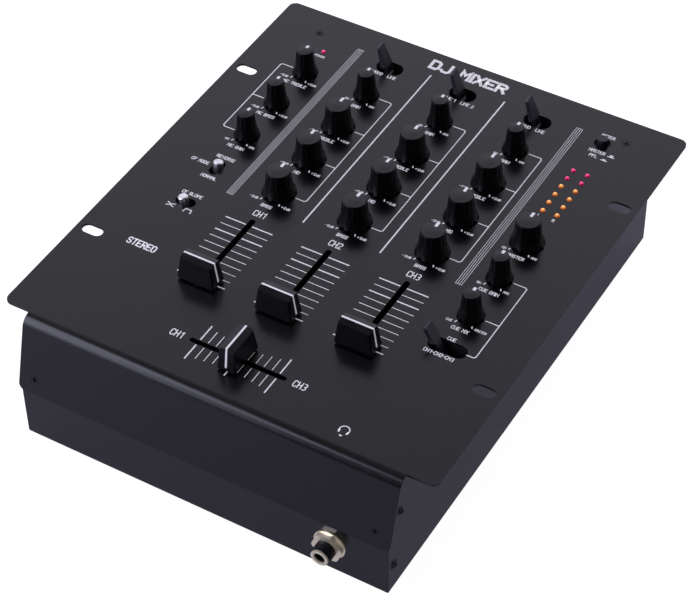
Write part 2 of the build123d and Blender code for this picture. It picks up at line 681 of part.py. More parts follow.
def build_paddle(name, x, y, pivot_z, lean, height, half_widths, cavity_width):
    """A finger lever that tips sideways: a paddle that starts just above the panel, on a thinner neck."""
    base_half, tip_half = half_widths
    origin = (x, y, pivot_z)
    side = Plane(origin=origin, x_dir=(cos(lean), 0, sin(lean)), z_dir=(0, -1, 0))
    face = Plane(origin=origin, x_dir=(0, 1, 0), z_dir=(cos(lean), 0, sin(lean)))
    reach = (PANEL_TOP + height - pivot_z) / cos(lean)
    shoulder = (PANEL_TOP + PADDLE_START - pivot_z) / cos(lean)
    corner = 1.2
    with BuildPart() as lever:
        with BuildSketch(side):
            with BuildLine():
                Polyline(
                    (-PADDLE_TIP, reach),
                    (-PADDLE_BASE, shoulder + 0.6),
                    (-NECK, shoulder),
                    (-NECK, 0),
                    (NECK, 0),
                    (NECK, shoulder),
                    (PADDLE_BASE, shoulder + 0.6),
                    (PADDLE_TIP, reach),
                )
                ThreePointArc((PADDLE_TIP, reach), (0, reach + 0.35), (-PADDLE_TIP, reach))
            make_face()
        extrude(amount=base_half, both=True)
        with BuildSketch(face):
            Polygon(
                (-base_half + corner, shoulder),
                (base_half - corner, shoulder),
                (base_half, shoulder + corner),
                (tip_half, reach - corner / 2),
                (tip_half - corner / 2, reach + 0.4),
                (-tip_half + corner / 2, reach + 0.4),
                (-tip_half, reach - corner / 2),
                (-base_half, shoulder + corner),
                align=None,
            )
            with Locations((0, shoulder / 2)):
                Rectangle(2 * (base_half - corner), shoulder + 1.0)
        extrude(amount=2 * PADDLE_BASE, both=True, mode=Mode.INTERSECT)
        long_edges = lever.edges().filter_by(lambda e: e.length > 0.6 * (reach - shoulder))
        fillet(long_edges, radius=0.25)
        with BuildSketch(side):
            Circle(HUB_R)
        extrude(amount=base_half - corner, both=True)
        with BuildSketch(side):
            Circle(PIN_R)
        extrude(amount=cavity_width / 2 + SWITCH_WALL - 0.2, both=True)
    keep(lever, name)


def build_small_lever(name, x, y, lean_dir):
    """A short round metal lever with a flat end."""
    lean_x, lean_y = lean_dir
    axis = Vector(lean_x * sin(SMALL_LEAN), lean_y * sin(SMALL_LEAN), cos(SMALL_LEAN))
    pin_dir = Vector(abs(lean_y), abs(lean_x), 0)
    origin = Vector(x, y, SMALL_PIVOT)
    section = Plane(origin=origin, x_dir=pin_dir, z_dir=pin_dir.cross(axis))
    reach = (PANEL_TOP + SMALL_LEVER_HEIGHT - SMALL_PIVOT) / cos(SMALL_LEAN)
    with BuildPart() as lever:
        with BuildSketch(section):
            Polygon(
                (0, reach),
                (0, -1.8),
                (1.5, -1.8),
                (HUB_R, -0.6),
                (HUB_R, 1.2),
                (SMALL_LEVER_R, 2.2),
                (SMALL_LEVER_R, reach - 0.5),
                (SMALL_LEVER_R - 0.5, reach),
                align=None,
            )
        revolve(axis=Axis(origin, axis))
        with BuildSketch(Plane(origin=origin, x_dir=axis, z_dir=pin_dir)):
            Circle(PIN_R)
        extrude(amount=SMALL_CAVITY[1] / 2 + SWITCH_WALL - 0.2, both=True)
    keep(lever, name)


def build_levers():
    for channel, x in enumerate(COLUMN_CHANNELS, start=1):
        name = f"input_lever_channel_{channel}"
        build_paddle(name, x, INPUT_ROW, INPUT_PIVOT, INPUT_LEAN, 14.2, (4.2, 2.9), INPUT_CAVITY[1])
    build_paddle("cue_lever", *CUE_LEVER, CUE_PIVOT, CUE_LEAN, 10.3, (3.6, 3.4), CUE_CAVITY[1])
    build_small_lever("crossfader_mode_lever", SMALL_LEVER_X, MODE_LEVER_Y, (0, 1))
    build_small_lever("crossfader_slope_lever", SMALL_LEVER_X, SLOPE_LEVER_Y, (-1, 0))


BUTTON_R = 3.0
BUTTON_HEIGHT = 3.8  # above the panel
BUTTON_TRAVEL = 2.5


def build_meter_switch():
    x, y = METER_BUTTON
    body_top = PANEL_UNDER - 0.6
    floor = CONTROL_TOP + 0.8
    with BuildPart() as body:
        with BuildSketch(Plane.XY.offset(CONTROL_TOP)):
            with Locations((x, y)):
                RectangleRounded(8.5, 8.5, 0.6)
        extrude(amount=body_top - CONTROL_TOP)
        with BuildSketch(Plane.XY.offset(floor)):
            with Locations((x, y)):
                Circle(BUTTON_R + RUNNING)
        extrude(amount=body_top - floor, mode=Mode.SUBTRACT)
    keep(body, "meter_switch_body")
    with BuildPart() as button:
        with BuildSketch(Plane.XY.offset(floor + BUTTON_TRAVEL + 0.2)):
            with Locations((x, y)):
                Circle(BUTTON_R)
        extrude(amount=PANEL_TOP + BUTTON_HEIGHT - floor - BUTTON_TRAVEL - 0.2)
        fillet(button.edges().group_by(Axis.Z)[-1], radius=0.5)
    keep(button, "meter_button")


# ---------------------------------------------------------------- lamps

LED_PROUD = 1.1


def led_group(name, spots):
    """Round lamps with a domed top, a flange under the panel and two wires down to the control board."""
    body_z = PANEL_UNDER - 1.2
    flange_r = LED_R + 0.35
    with BuildPart() as leds:
        for x, y in spots:
            with BuildSketch(upright(x, y, 0)):
                with BuildLine():
                    side_top = PANEL_TOP + LED_PROUD - LED_R * 0.7
                    Polyline(
                        (0, body_z),
                        (flange_r, body_z),
                        (flange_r, PANEL_UNDER),
                        (LED_R, PANEL_UNDER),
                        (LED_R, side_top),
                    )
                    cap = dome(LED_R, side_top, PANEL_TOP + LED_PROUD)
                    Line(cap @ 1, (0, body_z))
                make_face()
            revolve(axis=vertical_axis(x, y))
        with BuildSketch(Plane.XY.offset(body_z)):
            with Locations(*[(x + dx, y) for x, y in spots for dx in (-0.9, 0.9)]):
                Rectangle(0.5, 0.5)
        extrude(amount=CONTROL_TOP - body_z)
    keep(leds, name)


def build_leds():
    meter = [(x, y) for y in METER_ROWS for x in METER_X]
    led_group("red_leds", meter[:4] + [POWER_LED])
    led_group("amber_leds", meter[4:])


# ---------------------------------------------------------------- boards


def board(name, top, outline, spots):
    with BuildPart() as plate:
        with BuildSketch(Plane.XY.offset(top)):
            Polygon(*outline, align=None)
            with Locations(*spots):
                Circle(PAN_SCREW_R + 0.1, mode=Mode.SUBTRACT)
        extrude(amount=-BOARD)
    keep(plate, name)


def build_boards():
    wide = 103.0
    notch = 72.0
    board(
        "control_board",
        CONTROL_TOP,
        [
            (-wide, -36.0),
            (-notch, -36.0),
            (-notch, -5.0),
            (notch, -5.0),
            (notch, -36.0),
            (wide, -36.0),
            (wide, 119.0),
            (95.0, 136.5),
            (-95.0, 136.5),
            (-wide, 119.0),
        ],
        CONTROL_SPOTS,
    )
    board(
        "fader_board",
        FADER_BOARD_TOP,
        [
            (-63.0, -118.0),
            (70.0, -118.0),
            (wide, -66.0),
            (wide, -38.0),
            (70.0, -38.0),
            (70.0, -6.0),
            (-63.0, -6.0),
        ],
        FADER_BOARD_SPOTS,
    )
    board("io_board", IO_TOP, [(-100.0, 64.0), (100.0, 64.0), (100.0, 124.0), (-100.0, 124.0)], IO_SPOTS)


def build_standoffs():
    """Round spacers: down from the panel for the two upper boards, up from the floor for the input board."""
    with BuildPart() as spacers:
        for spots, bottom, top in (
            (CONTROL_SPOTS, CONTROL_TOP, PANEL_UNDER),
            (FADER_BOARD_SPOTS, FADER_BOARD_TOP, PANEL_UNDER),
            (IO_SPOTS, FLOOR_TOP, IO_TOP - BOARD),
        ):
            with BuildSketch(Plane.XY.offset(bottom)):
                with Locations(*spots):
                    RegularPolygon(STANDOFF_R, 6)
                    Circle(PAN_SCREW_R, mode=Mode.SUBTRACT)
            extrude(amount=top - bottom)
    keep(spacers, "board_standoffs")


def build_components():
    """Amplifier chips and capacitors on the input board."""
    with BuildPart() as parts:
        with BuildSketch(Plane.XY.offset(IO_TOP)):
            with Locations((0, 76.0)):
                with GridLocations(22.0, 0, 8, 1):
                    Rectangle(6.2, 9.0)
        extrude(amount=3.0)
        with BuildSketch(Plane.XY.offset(IO_TOP)):
            with Locations((0, 92.0)):
                with GridLocations(11.0, 0, 14, 1):
                    Circle(2.5)
        extrude(amount=7.5)
        with BuildSketch(Plane.XY.offset(IO_TOP)):
            with Locations((84.0, 84.0), (84.0, 100.0)):
                Circle(6.0)
        extrude(amount=18.0)
    keep(parts, "board_components")


def build_ribbon():
    """Flat cable that hangs from the control board and curls down to the input board."""
    top_y, top_z = 56.0, CONTROL_TOP - BOARD
    low_y, low_z = 67.0, IO_TOP
    plug_depth, plug_height = 5.0, 6.0
    with BuildPart() as ribbon:
        with BuildSketch(Plane.YZ.offset(-70.0)):
            with BuildLine():
                drop = Line((top_y, top_z - plug_height / 2), (top_y, 44.0))
                curl = ThreePointArc(drop @ 1, ((top_y + low_y) / 2, 36.5), (low_y, 40.0))
                Line(curl @ 1, (low_y, low_z + plug_height / 2))
            trace(line_width=0.9)
        extrude(amount=30.0)
        with BuildSketch(Plane.YZ.offset(-72.0)):
            with Locations((top_y, top_z - plug_height / 2), (low_y, low_z + plug_height / 2)):
                Rectangle(plug_depth, plug_height)
        extrude(amount=34.0)
    keep(ribbon, "ribbon_cable")


# ---------------------------------------------------------------- connectors

PHONES_BUSHING_R = 5.5
PHONES_BORE_R = 3.25
PHONES_MOUTH_R = 4.9
PHONES_MOUTH = 1.6  # length of the narrower part at the mouth
WASHER = (9.0, 0.7)  # radius and thickness
JACK_NUT = (7.9, 8.7, 2.9)  # half across flats, half across the rounded corners, height
PHONO_COLUMNS = (-74.0, -58.0, -34.0, -18.0, 6.0, 22.0, 48.0, 64.0)
PHONO_ROWS = (34.0, 50.0)
PHONO_SPOTS = [(x, z) for x in PHONO_COLUMNS for z in PHONO_ROWS]
PHONO_COLLAR_R = 5.2
PHONO_SHELL_R = 4.15
PHONO_BORE_R = 1.7
PHONO_SHELL_BACK = 10.5  # inside the case
PHONO_SHELL_FRONT = 5.6  # outside
PHONO_DEPTH = 12.6  # of the bore for the plug's pin
COLLAR_DEPTH = 2.4  # of the insulating collars, inside the case
MIC_SPOT = (90.0, 34.0)
GROUND_SPOT = (-90.0, 50.0)
GROUND_R = 2.0
POWER_SPOT = (-90.0, 30.0)
POWER_R = 4.5
POWER_BORE_R = 2.8
JACK_BODY = (16.0, 22.0, 16.0)  # width, depth and height of a jack's plastic body


def jack_plane(x, z, face, outward):
    """Plane on a case face at a connector, looking out, with its own y pointing up."""
    return Plane(origin=(x, face, z), x_dir=(-outward, 0, 0), z_dir=(0, outward, 0))


def jack_body(plane, length):
    """Quarter-inch jack: a box inside the case with a threaded bushing through the wall."""
    width, depth, height = JACK_BODY
    with BuildPart() as body:
        with BuildSketch(plane.offset(-SHEET)):
            Rectangle(width, height)
        extrude(amount=-depth)
        with BuildSketch(plane.offset(-SHEET)):
            Circle(PHONES_BUSHING_R)
        extrude(amount=SHEET + length - PHONES_MOUTH)
        with BuildSketch(plane.offset(length - PHONES_MOUTH)):
            Circle(PHONES_MOUTH_R)
        extrude(amount=PHONES_MOUTH)
        for step in range(THREADS):
            with BuildSketch(plane.offset(WASHER[1] + JACK_NUT[2] + 0.4 + THREAD_PITCH * step)):
                Circle(PHONES_BUSHING_R)
                Circle(PHONES_BUSHING_R - 0.25, mode=Mode.SUBTRACT)
            extrude(amount=THREAD_PITCH / 2, mode=Mode.SUBTRACT)
        with BuildSketch(plane.offset(length)):
            Circle(PHONES_BORE_R)
        extrude(amount=-length - depth + 2.0, mode=Mode.SUBTRACT)
    return body.part


def jack_nut(plane):
    """Hexagon nut with rounded corners, on a thin washer."""
    washer_r, washer = WASHER
    flats, corners, height = JACK_NUT
    with BuildPart() as nut:
        with BuildSketch(plane.offset(washer)):
            RegularPolygon(flats, 6, major_radius=False, rotation=10)
            Circle(corners, mode=Mode.INTERSECT)
        extrude(amount=height)
        with BuildSketch(plane):
            Circle(washer_r)
        extrude(amount=washer)
        with BuildSketch(plane):
            Circle(PHONES_BUSHING_R)
        extrude(amount=washer + height, mode=Mode.SUBTRACT)
    return nut.part


RING_LENGTH = 1.0
THREADS = 4
THREAD_PITCH = 0.8
PHONES_LENGTH = REACH + BODY_FRONT - RING_LENGTH
MIC_LENGTH = REACH - BODY_REAR - RING_LENGTH
PHONES_PLANE = jack_plane(PHONES_X, PHONES_Z, BODY_FRONT, -1)
MIC_PLANE = jack_plane(*MIC_SPOT, BODY_REAR, 1)


def build_quarter_inch_jacks():
    """Headphone jack in front, microphone jack at the rear: body, nut and the bright ring at the mouth."""
    jacks = {"headphone": (PHONES_PLANE, PHONES_LENGTH), "microphone": (MIC_PLANE, MIC_LENGTH)}
    for jack, (plane, length) in jacks.items():
        with BuildPart() as body:
            add(jack_body(plane, length))
        keep(body, f"{jack}_jack_body")
    with BuildPart() as nuts:
        add(jack_nut(PHONES_PLANE))
        add(jack_nut(MIC_PLANE))
    keep(nuts, "jack_nuts")
    with BuildPart() as rings:
        for plane, length in jacks.values():
            with BuildSketch(plane.offset(length)):
                Circle(PHONES_MOUTH_R)
                Circle(PHONES_BORE_R, mode=Mode.SUBTRACT)
            extrude(amount=RING_LENGTH)
    keep(rings, "jack_rings")


def build_phono_jacks():
    """Input and output sockets: insulated collars in the rear panel around plated shells."""
    rear = upright(0, BODY_REAR, 0)
    column_gap = PHONO_ROWS[1] - PHONO_ROWS[0]
    middle = sum(PHONO_ROWS) / 2
    with BuildPart() as housings:
        with BuildSketch(rear.offset(SHEET)):
            with Locations(*[(x, middle) for x in PHONO_COLUMNS]):
                RectangleRounded(13.0, column_gap + 14.0, 1.5)
        extrude(amount=9.0)
        with BuildSketch(rear.offset(SHEET)):
            with Locations(*PHONO_SPOTS):
                Circle(PHONO_COLLAR_R)
        extrude(amount=-SHEET - COLLAR_DEPTH)
        with BuildSketch(rear.offset(-COLLAR_DEPTH)):
            with Locations(*PHONO_SPOTS):
                Circle(PHONO_SHELL_R)
        extrude(amount=COLLAR_DEPTH + PHONO_SHELL_FRONT, mode=Mode.SUBTRACT)
    keep(housings, "phono_jack_housings")
    with BuildPart() as shells:
        with BuildSketch(rear.offset(-PHONO_SHELL_BACK)):
            with Locations(*PHONO_SPOTS):
                Circle(PHONO_SHELL_R)
        extrude(amount=PHONO_SHELL_BACK + PHONO_SHELL_FRONT)
        with BuildSketch(rear.offset(PHONO_SHELL_FRONT)):
            with Locations(*PHONO_SPOTS):
                Circle(PHONO_BORE_R)
        extrude(amount=-PHONO_DEPTH, mode=Mode.SUBTRACT)
    keep(shells, "phono_jack_shells")


def build_ground_post():
    """Knurled thumb nut on a stud, for a turntable's ground wire."""
    plane = jack_plane(*GROUND_SPOT, BODY_REAR, 1)
    with BuildPart() as post:
        with BuildSketch(plane.offset(-6.0)):
            Circle(GROUND_R)
        extrude(amount=6.0 + 9.5)
        with BuildSketch(plane):
            Circle(3.6)
        extrude(amount=1.2)
        with BuildSketch(plane.offset(3.0)):
            Circle(4.6)
            with PolarLocations(4.75, 18):
                Circle(0.45, mode=Mode.SUBTRACT)
        extrude(amount=5.0)
    keep(post, "ground_post")


def build_power_inlet():
    """Round low-voltage socket with a centre pin, for a plug-in supply."""
    plane = jack_plane(*POWER_SPOT, BODY_REAR, 1)
    with BuildPart() as inlet:
        with BuildSketch(plane.offset(-SHEET)):
            Rectangle(14.0, 11.0)
        extrude(amount=-14.0)
        with BuildSketch(plane.offset(-SHEET)):
            Circle(POWER_R)
        extrude(amount=SHEET + 1.0)
        with BuildSketch(plane.offset(1.0)):
            Circle(POWER_BORE_R)
            Circle(1.05, mode=Mode.SUBTRACT)
        extrude(amount=-11.0, mode=Mode.SUBTRACT)
    keep(inlet, "power_inlet")


# ---------------------------------------------------------------- build

build_top_panel()
build_base_tray()
build_front_plate()
build_rear_panel()
build_case_screws()
build_pan_screws()
build_rubber_feet()
build_pot_bodies()
build_pot_nuts()
for knob_name, (knob_x, knob_y, knob_size) in KNOBS.items():
    build_knob(knob_name, knob_x, knob_y, knob_size)
build_fader_frames()
build_fader_rods()
for fader_name, (fader_x, fader_y, fader_travel, fader_start) in FADERS.items():
    build_fader(fader_name, fader_x, fader_y, fader_travel, fader_start)
build_switch_bodies()
build_levers()
build_meter_switch()
build_leds()
build_boards()
build_standoffs()
build_components()
build_ribbon()
build_quarter_inch_jacks()
build_phono_jacks()
build_ground_post()
build_power_inlet()
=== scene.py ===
"""Looks of the DJ mixer: finishes, printed legends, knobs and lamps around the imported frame."""

import json
import math

import bmesh
import bpy
from mathutils import Euler, Matrix, Vector


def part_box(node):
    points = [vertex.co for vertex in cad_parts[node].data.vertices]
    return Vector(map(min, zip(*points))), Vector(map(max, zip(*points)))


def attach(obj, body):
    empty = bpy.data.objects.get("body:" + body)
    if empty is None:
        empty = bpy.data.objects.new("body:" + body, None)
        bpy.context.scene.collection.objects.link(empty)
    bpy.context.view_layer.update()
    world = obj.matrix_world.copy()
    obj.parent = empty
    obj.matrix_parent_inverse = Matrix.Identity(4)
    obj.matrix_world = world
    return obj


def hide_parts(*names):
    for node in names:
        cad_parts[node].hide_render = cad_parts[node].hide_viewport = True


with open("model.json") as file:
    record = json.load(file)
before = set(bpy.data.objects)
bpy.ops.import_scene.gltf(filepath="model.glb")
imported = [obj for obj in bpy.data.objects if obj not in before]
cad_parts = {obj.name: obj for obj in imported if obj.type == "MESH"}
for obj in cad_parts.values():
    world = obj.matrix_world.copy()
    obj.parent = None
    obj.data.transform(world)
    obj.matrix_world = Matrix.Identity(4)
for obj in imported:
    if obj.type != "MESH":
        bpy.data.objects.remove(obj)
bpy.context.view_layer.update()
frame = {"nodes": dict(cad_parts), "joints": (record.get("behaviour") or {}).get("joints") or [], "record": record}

MM = 0.001
PANEL_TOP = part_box("top_panel")[1].z / MM
INK = 0.03
PIVOTS = {joint["child"]: joint["pos_m"] for joint in frame["joints"] if "pos_m" in joint}
CHANNELS = (1, 2, 3)
MIC_KNOBS = ("knob_mic_treble", "knob_mic_bass", "knob_mic_gain")
EQ_ROWS = ("gain", "treble", "mid", "bass")


# ---------------------------------------------------------------- places taken from the frame


def spot(node):
    """Where a node turns, or else the middle of its box, seen from above, in millimetres."""
    if node in PIVOTS:
        return PIVOTS[node][0] / MM, PIVOTS[node][1] / MM
    low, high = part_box(node)
    return (low.x + high.x) / 2 / MM, (low.y + high.y) / 2 / MM


def channel_knob(channel, row):
    return f"knob_channel_{channel}_{row}"


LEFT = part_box("top_panel")[0].x / MM
CHANNEL_X = {channel: spot(channel_knob(channel, "bass"))[0] for channel in CHANNELS}
MIC_X = spot("knob_mic_gain")[0]
MASTER_X = spot("knob_master")[0]
ROW_Y = {row: spot(channel_knob(1, row))[1] for row in EQ_ROWS}
CUE_MIX_Y = spot("knob_cue_mix")[1]
CUE_GAIN_Y = spot("knob_cue_gain")[1]


# ---------------------------------------------------------------- material helpers


def start(name, roughness=0.5, metallic=0.0):
    """A new principled material: the material, its node tree and its shader."""
    material = bpy.data.materials.new(name)
    material.use_nodes = True
    tree = material.node_tree
    shader = tree.nodes["Principled BSDF"]
    shader.inputs["Roughness"].default_value = roughness
    shader.inputs["Metallic"].default_value = metallic
    return material, tree, shader


def put(tree, kind, inputs=None, **settings):
    """Adds a node, sets its options, and sets or links its inputs."""
    made = tree.nodes.new(kind)
    for key, value in settings.items():
        setattr(made, key, value)
    for key, value in (inputs or {}).items():
        if isinstance(value, bpy.types.NodeSocket):
            tree.links.new(value, made.inputs[key])
        else:
            made.inputs[key].default_value = value
    return made


def object_coordinates(tree):
    return put(tree, "ShaderNodeTexCoord").outputs["Object"]


def speckle(tree, size_mm, detail=2.0, vector=None):
    """Noise from 0 to 1 whose blotches are about size_mm across."""
    where = vector or object_coordinates(tree)
    inputs = {"Vector": where, "Scale": 1 / (size_mm * MM), "Detail": detail}
    return put(tree, "ShaderNodeTexNoise", inputs).outputs["Fac"]


def spread(tree, value, low, high, start_at=0.3, end_at=0.7):
    """Stretches a noise value onto the range low to high."""
    inputs = {"Value": value, "From Min": start_at, "From Max": end_at, "To Min": low, "To Max": high}
    return put(tree, "ShaderNodeMapRange", inputs).outputs["Result"]


def mixed(tree, factor, first, second):
    """Colour between first and second."""
    made = put(tree, "ShaderNodeMix", data_type="RGBA")
    for index, value in ((0, factor), (6, first), (7, second)):
        if isinstance(value, bpy.types.NodeSocket):
            tree.links.new(value, made.inputs[index])
        elif index:
            made.inputs[index].default_value = (*value, 1)
        else:
            made.inputs[index].default_value = value
    return made.outputs[2]


def maths(tree, operation, first, second=0.0):
    return put(tree, "ShaderNodeMath", {0: first, 1: second}, operation=operation).outputs[0]


def bumps(tree, height, depth_mm, normal=None):
    inputs = {"Height": height, "Distance": depth_mm * MM}
    if normal:
        inputs["Normal"] = normal
    return put(tree, "ShaderNodeBump", inputs).outputs["Normal"]


def edge_share(tree, radius_mm):
    """0 on flats, rising to 1 on corners sharper than the radius."""
    rounded = put(tree, "ShaderNodeBevel", {"Radius": radius_mm * MM}, samples=4)
    flat = put(tree, "ShaderNodeNewGeometry").outputs["Normal"]
    inputs = {0: rounded.outputs[0], 1: flat}
    match = put(tree, "ShaderNodeVectorMath", inputs, operation="DOT_PRODUCT").outputs["Value"]
    return spread(tree, match, 1.0, 0.0, 0.75, 0.99)


def wire(tree, shader, **inputs):
    """Links or sets inputs of the principled shader; underscores stand for spaces."""
    for key, value in inputs.items():
        socket = shader.inputs[key.replace("_", " ")]
        if isinstance(value, bpy.types.NodeSocket):
            tree.links.new(value, socket)
        else:
            socket.default_value = value


# ---------------------------------------------------------------- materials


def powder_coat():
    """Fine satin powder coat on steel: orange peel, tiny flecks, edges painted lighter as a highlight."""
    material, tree, shader = start("powder_coat")
    fine = speckle(tree, 0.35)
    peel = speckle(tree, 1.6)
    height = maths(tree, "ADD", fine, peel)
    clouds = speckle(tree, 60.0, 4.0)
    body = mixed(tree, spread(tree, clouds, 0, 1), (0.0018, 0.0017, 0.0024), (0.0026, 0.0025, 0.0033))
    flecked = mixed(tree, spread(tree, fine, 0, 0.5, 0.62, 0.75), body, (0.006, 0.006, 0.008))
    # Corners painted lighter: a painted highlight along every edge.
    edge_highlit_colour = mixed(tree, maths(tree, "MULTIPLY", edge_share(tree, 0.5), 0.5), flecked, (0.030, 0.030, 0.033))
    softened = put(tree, "ShaderNodeBevel", {"Radius": 0.4 * MM}, samples=4).outputs[0]
    wire(
        tree,
        shader,
        Base_Color=edge_highlit_colour,
        Roughness=spread(tree, clouds, 0.22, 0.27),
        Normal=bumps(tree, height, 0.012, softened),
    )
    return material


def moulded(name, colour, roughness, shine=0.5):
    """Moulded plastic: spark-eroded grain, faint flow clouds, edges polished by use and painted lighter as a
    highlight.
    """
    material, tree, shader = start(name)
    grain = speckle(tree, 0.25, 3.0)
    clouds = speckle(tree, 9.0)
    lighter = tuple(channel * 1.5 + 0.001 for channel in colour)
    body = mixed(tree, spread(tree, clouds, 0, 1), colour, lighter)
    # Lighter colour on the edges: a painted highlight.
    painted_edge_highlight = tuple(channel * 2.2 + 0.006 for channel in colour)
    edges = edge_share(tree, 0.25)
    edge_highlit_colour = mixed(tree, maths(tree, "MULTIPLY", edges, 0.3), body, painted_edge_highlight)
    rough = spread(tree, clouds, roughness - 0.05, roughness + 0.05)
    polished = maths(tree, "SUBTRACT", rough, maths(tree, "MULTIPLY", edges, 0.12))
    wire(
        tree,
        shader,
        Base_Color=edge_highlit_colour,
        Roughness=polished,
        Specular_IOR_Level=shine,
        Normal=bumps(tree, grain, 0.008),
    )
    return material


def metal(name, colour, roughness, streak=(1, 1, 1), glow=0.0):
    """Plated or machined metal: fine tool marks stretched along one axis, darker clouds of tarnish, and an
    optional glow that is painted light.
    """
    material, tree, shader = start(name, metallic=1.0)
    stretched = put(
        tree, "ShaderNodeMapping", {"Vector": object_coordinates(tree), "Scale": streak}
    ).outputs["Vector"]
    marks = speckle(tree, 0.6, 3.0, stretched)
    clouds = speckle(tree, 4.0)
    dull = tuple(channel * 0.72 for channel in colour)
    body = mixed(tree, spread(tree, clouds, 0, 1), colour, dull)
    wire(
        tree,
        shader,
        Base_Color=body,
        Roughness=spread(tree, marks, roughness - 0.06, roughness + 0.10),
        # The glow is painted light: the metal gives off its own colour so it looks brighter, though it is no lamp.
        Emission_Color=body,
        Emission_Strength=glow,
        Normal=bumps(tree, marks, 0.004),
    )
    return material


def knob_plastic():
    """Black knob plastic: matt grain on the sides, a fine turned pattern on the flat crown; the sides painted
    darker as shade, the crown and edges painted lighter as highlight.
    """
    material, tree, shader = start("knob_plastic")
    where = object_coordinates(tree)
    split = put(tree, "ShaderNodeSeparateXYZ", {"Vector": where})
    flat = put(tree, "ShaderNodeCombineXYZ", {"X": split.outputs["X"], "Y": split.outputs["Y"]})
    radius = put(tree, "ShaderNodeVectorMath", {0: flat.outputs[0]}, operation="LENGTH").outputs["Value"]
    turned = put(tree, "ShaderNodeMath", {0: maths(tree, "MULTIPLY", radius, 2 * math.pi / (0.28 * MM))},
                 operation="SINE").outputs[0]
    up = put(tree, "ShaderNodeSeparateXYZ", {"Vector": put(tree, "ShaderNodeNewGeometry").outputs["Normal"]})
    crown = spread(tree, up.outputs["Z"], 0, 1, 0.9, 0.97)
    grain = speckle(tree, 0.22, 3.0)
    rings = maths(tree, "MULTIPLY", maths(tree, "MULTIPLY", turned, 0.22), crown)
    height = maths(tree, "ADD", maths(tree, "MULTIPLY", grain, 0.8), rings)
    clouds = speckle(tree, 5.0)
    # By which way the surface faces: the sides are painted dark as shade, the upward crown painted lighter as
    # light.
    side = mixed(tree, spread(tree, clouds, 0, 1), (0.0006, 0.0006, 0.0010), (0.0012, 0.0012, 0.0018))
    top = mixed(tree, spread(tree, clouds, 0, 1), (0.0044, 0.0043, 0.0052), (0.0062, 0.0061, 0.0072))
    body = mixed(tree, crown, side, top)
    # Edges painted lighter: a painted highlight.
    edge_highlit_colour = mixed(tree, maths(tree, "MULTIPLY", edge_share(tree, 0.3), 0.35), body, (0.012, 0.012, 0.014))
    rough = mixed(tree, crown, (0.34, 0.34, 0.34), (0.36, 0.36, 0.36))
    shine = spread(tree, crown, 0.22, 0.5, 0.0, 1.0)
    wire(
        tree,
        shader,
        Base_Color=edge_highlit_colour,
        Roughness=rough,
        Specular_IOR_Level=shine,
        Normal=bumps(tree, height, 0.006),
    )
    return material


def print_ink():
    """Screen-printed white ink with a slightly uneven cover and a faint glow that is painted light."""
    material, tree, shader = start("print_white", 0.55)
    cover = speckle(tree, 0.5, 4.0)
    body = mixed(tree, spread(tree, cover, 0, 1, 0.35, 0.6), (0.80, 0.80, 0.82), (0.93, 0.93, 0.95))
    wire(
        tree,
        shader,
        Base_Color=body,
        # Emission here is painted light: the ink glows faintly to look brighter.
        Emission_Color=body,
        Emission_Strength=0.22,
        Normal=bumps(tree, cover, 0.004),
    )
    return material


def lamp(name, centre, rim, strength):
    """A lit lamp: bright on the crown of its dome, deep colour towards the rim."""
    material, tree, shader = start(name, 0.18)
    facing = put(tree, "ShaderNodeNewGeometry").outputs["Normal"]
    slope = put(tree, "ShaderNodeSeparateXYZ", {"Vector": facing})
    mottled = maths(tree, "ADD", slope.outputs["Z"], maths(tree, "MULTIPLY", speckle(tree, 0.8), 0.06))
    glow = mixed(tree, spread(tree, mottled, 0, 1, 0.98, 0.76), centre, rim)
    wire(
        tree,
        shader,
        Base_Color=(*rim, 1),
        Emission_Color=glow,
        Emission_Strength=strength,
        Coat_Weight=0.6,
        Normal=bumps(tree, speckle(tree, 0.9), 0.01),
    )
    return material


def board_green():
    """Solder mask over copper: faint tracks as straight raised lines."""
    material, tree, shader = start("circuit_board", 0.3)
    where = object_coordinates(tree)
    tracks = put(tree, "ShaderNodeTexVoronoi", {"Vector": where, "Scale": 1 / (4.0 * MM)},
                 distance="MANHATTAN", feature="DISTANCE_TO_EDGE").outputs["Distance"]
    line = spread(tree, tracks, 1, 0, 0.02, 0.06)
    body = mixed(tree, line, (0.012, 0.085, 0.030), (0.03, 0.16, 0.06))
    wire(tree, shader, Base_Color=body, Normal=bumps(tree, line, 0.03))
    return material


def rubber():
    """Dusty matt rubber."""
    material, tree, shader = start("rubber_black", 0.85)
    dust = speckle(tree, 2.5, 5.0)
    body = mixed(tree, spread(tree, dust, 0, 1, 0.45, 0.8), (0.012, 0.012, 0.012), (0.045, 0.044, 0.042))
    wire(tree, shader, Base_Color=body, Normal=bumps(tree, speckle(tree, 0.4, 3.0), 0.03))
    return material


def ribbon():
    """Flat grey cable: the wires run side by side as fine ribs."""
    material, tree, shader = start("ribbon_grey", 0.45)
    where = object_coordinates(tree)
    ribs = put(tree, "ShaderNodeTexWave", {"Vector": where, "Scale": 1 / (1.27 * MM) / 6.28},
               bands_direction="X").outputs["Fac"]
    body = mixed(tree, ribs, (0.22, 0.22, 0.23), (0.34, 0.34, 0.35))
    wire(tree, shader, Base_Color=body, Normal=bumps(tree, ribs, 0.15))
    return material


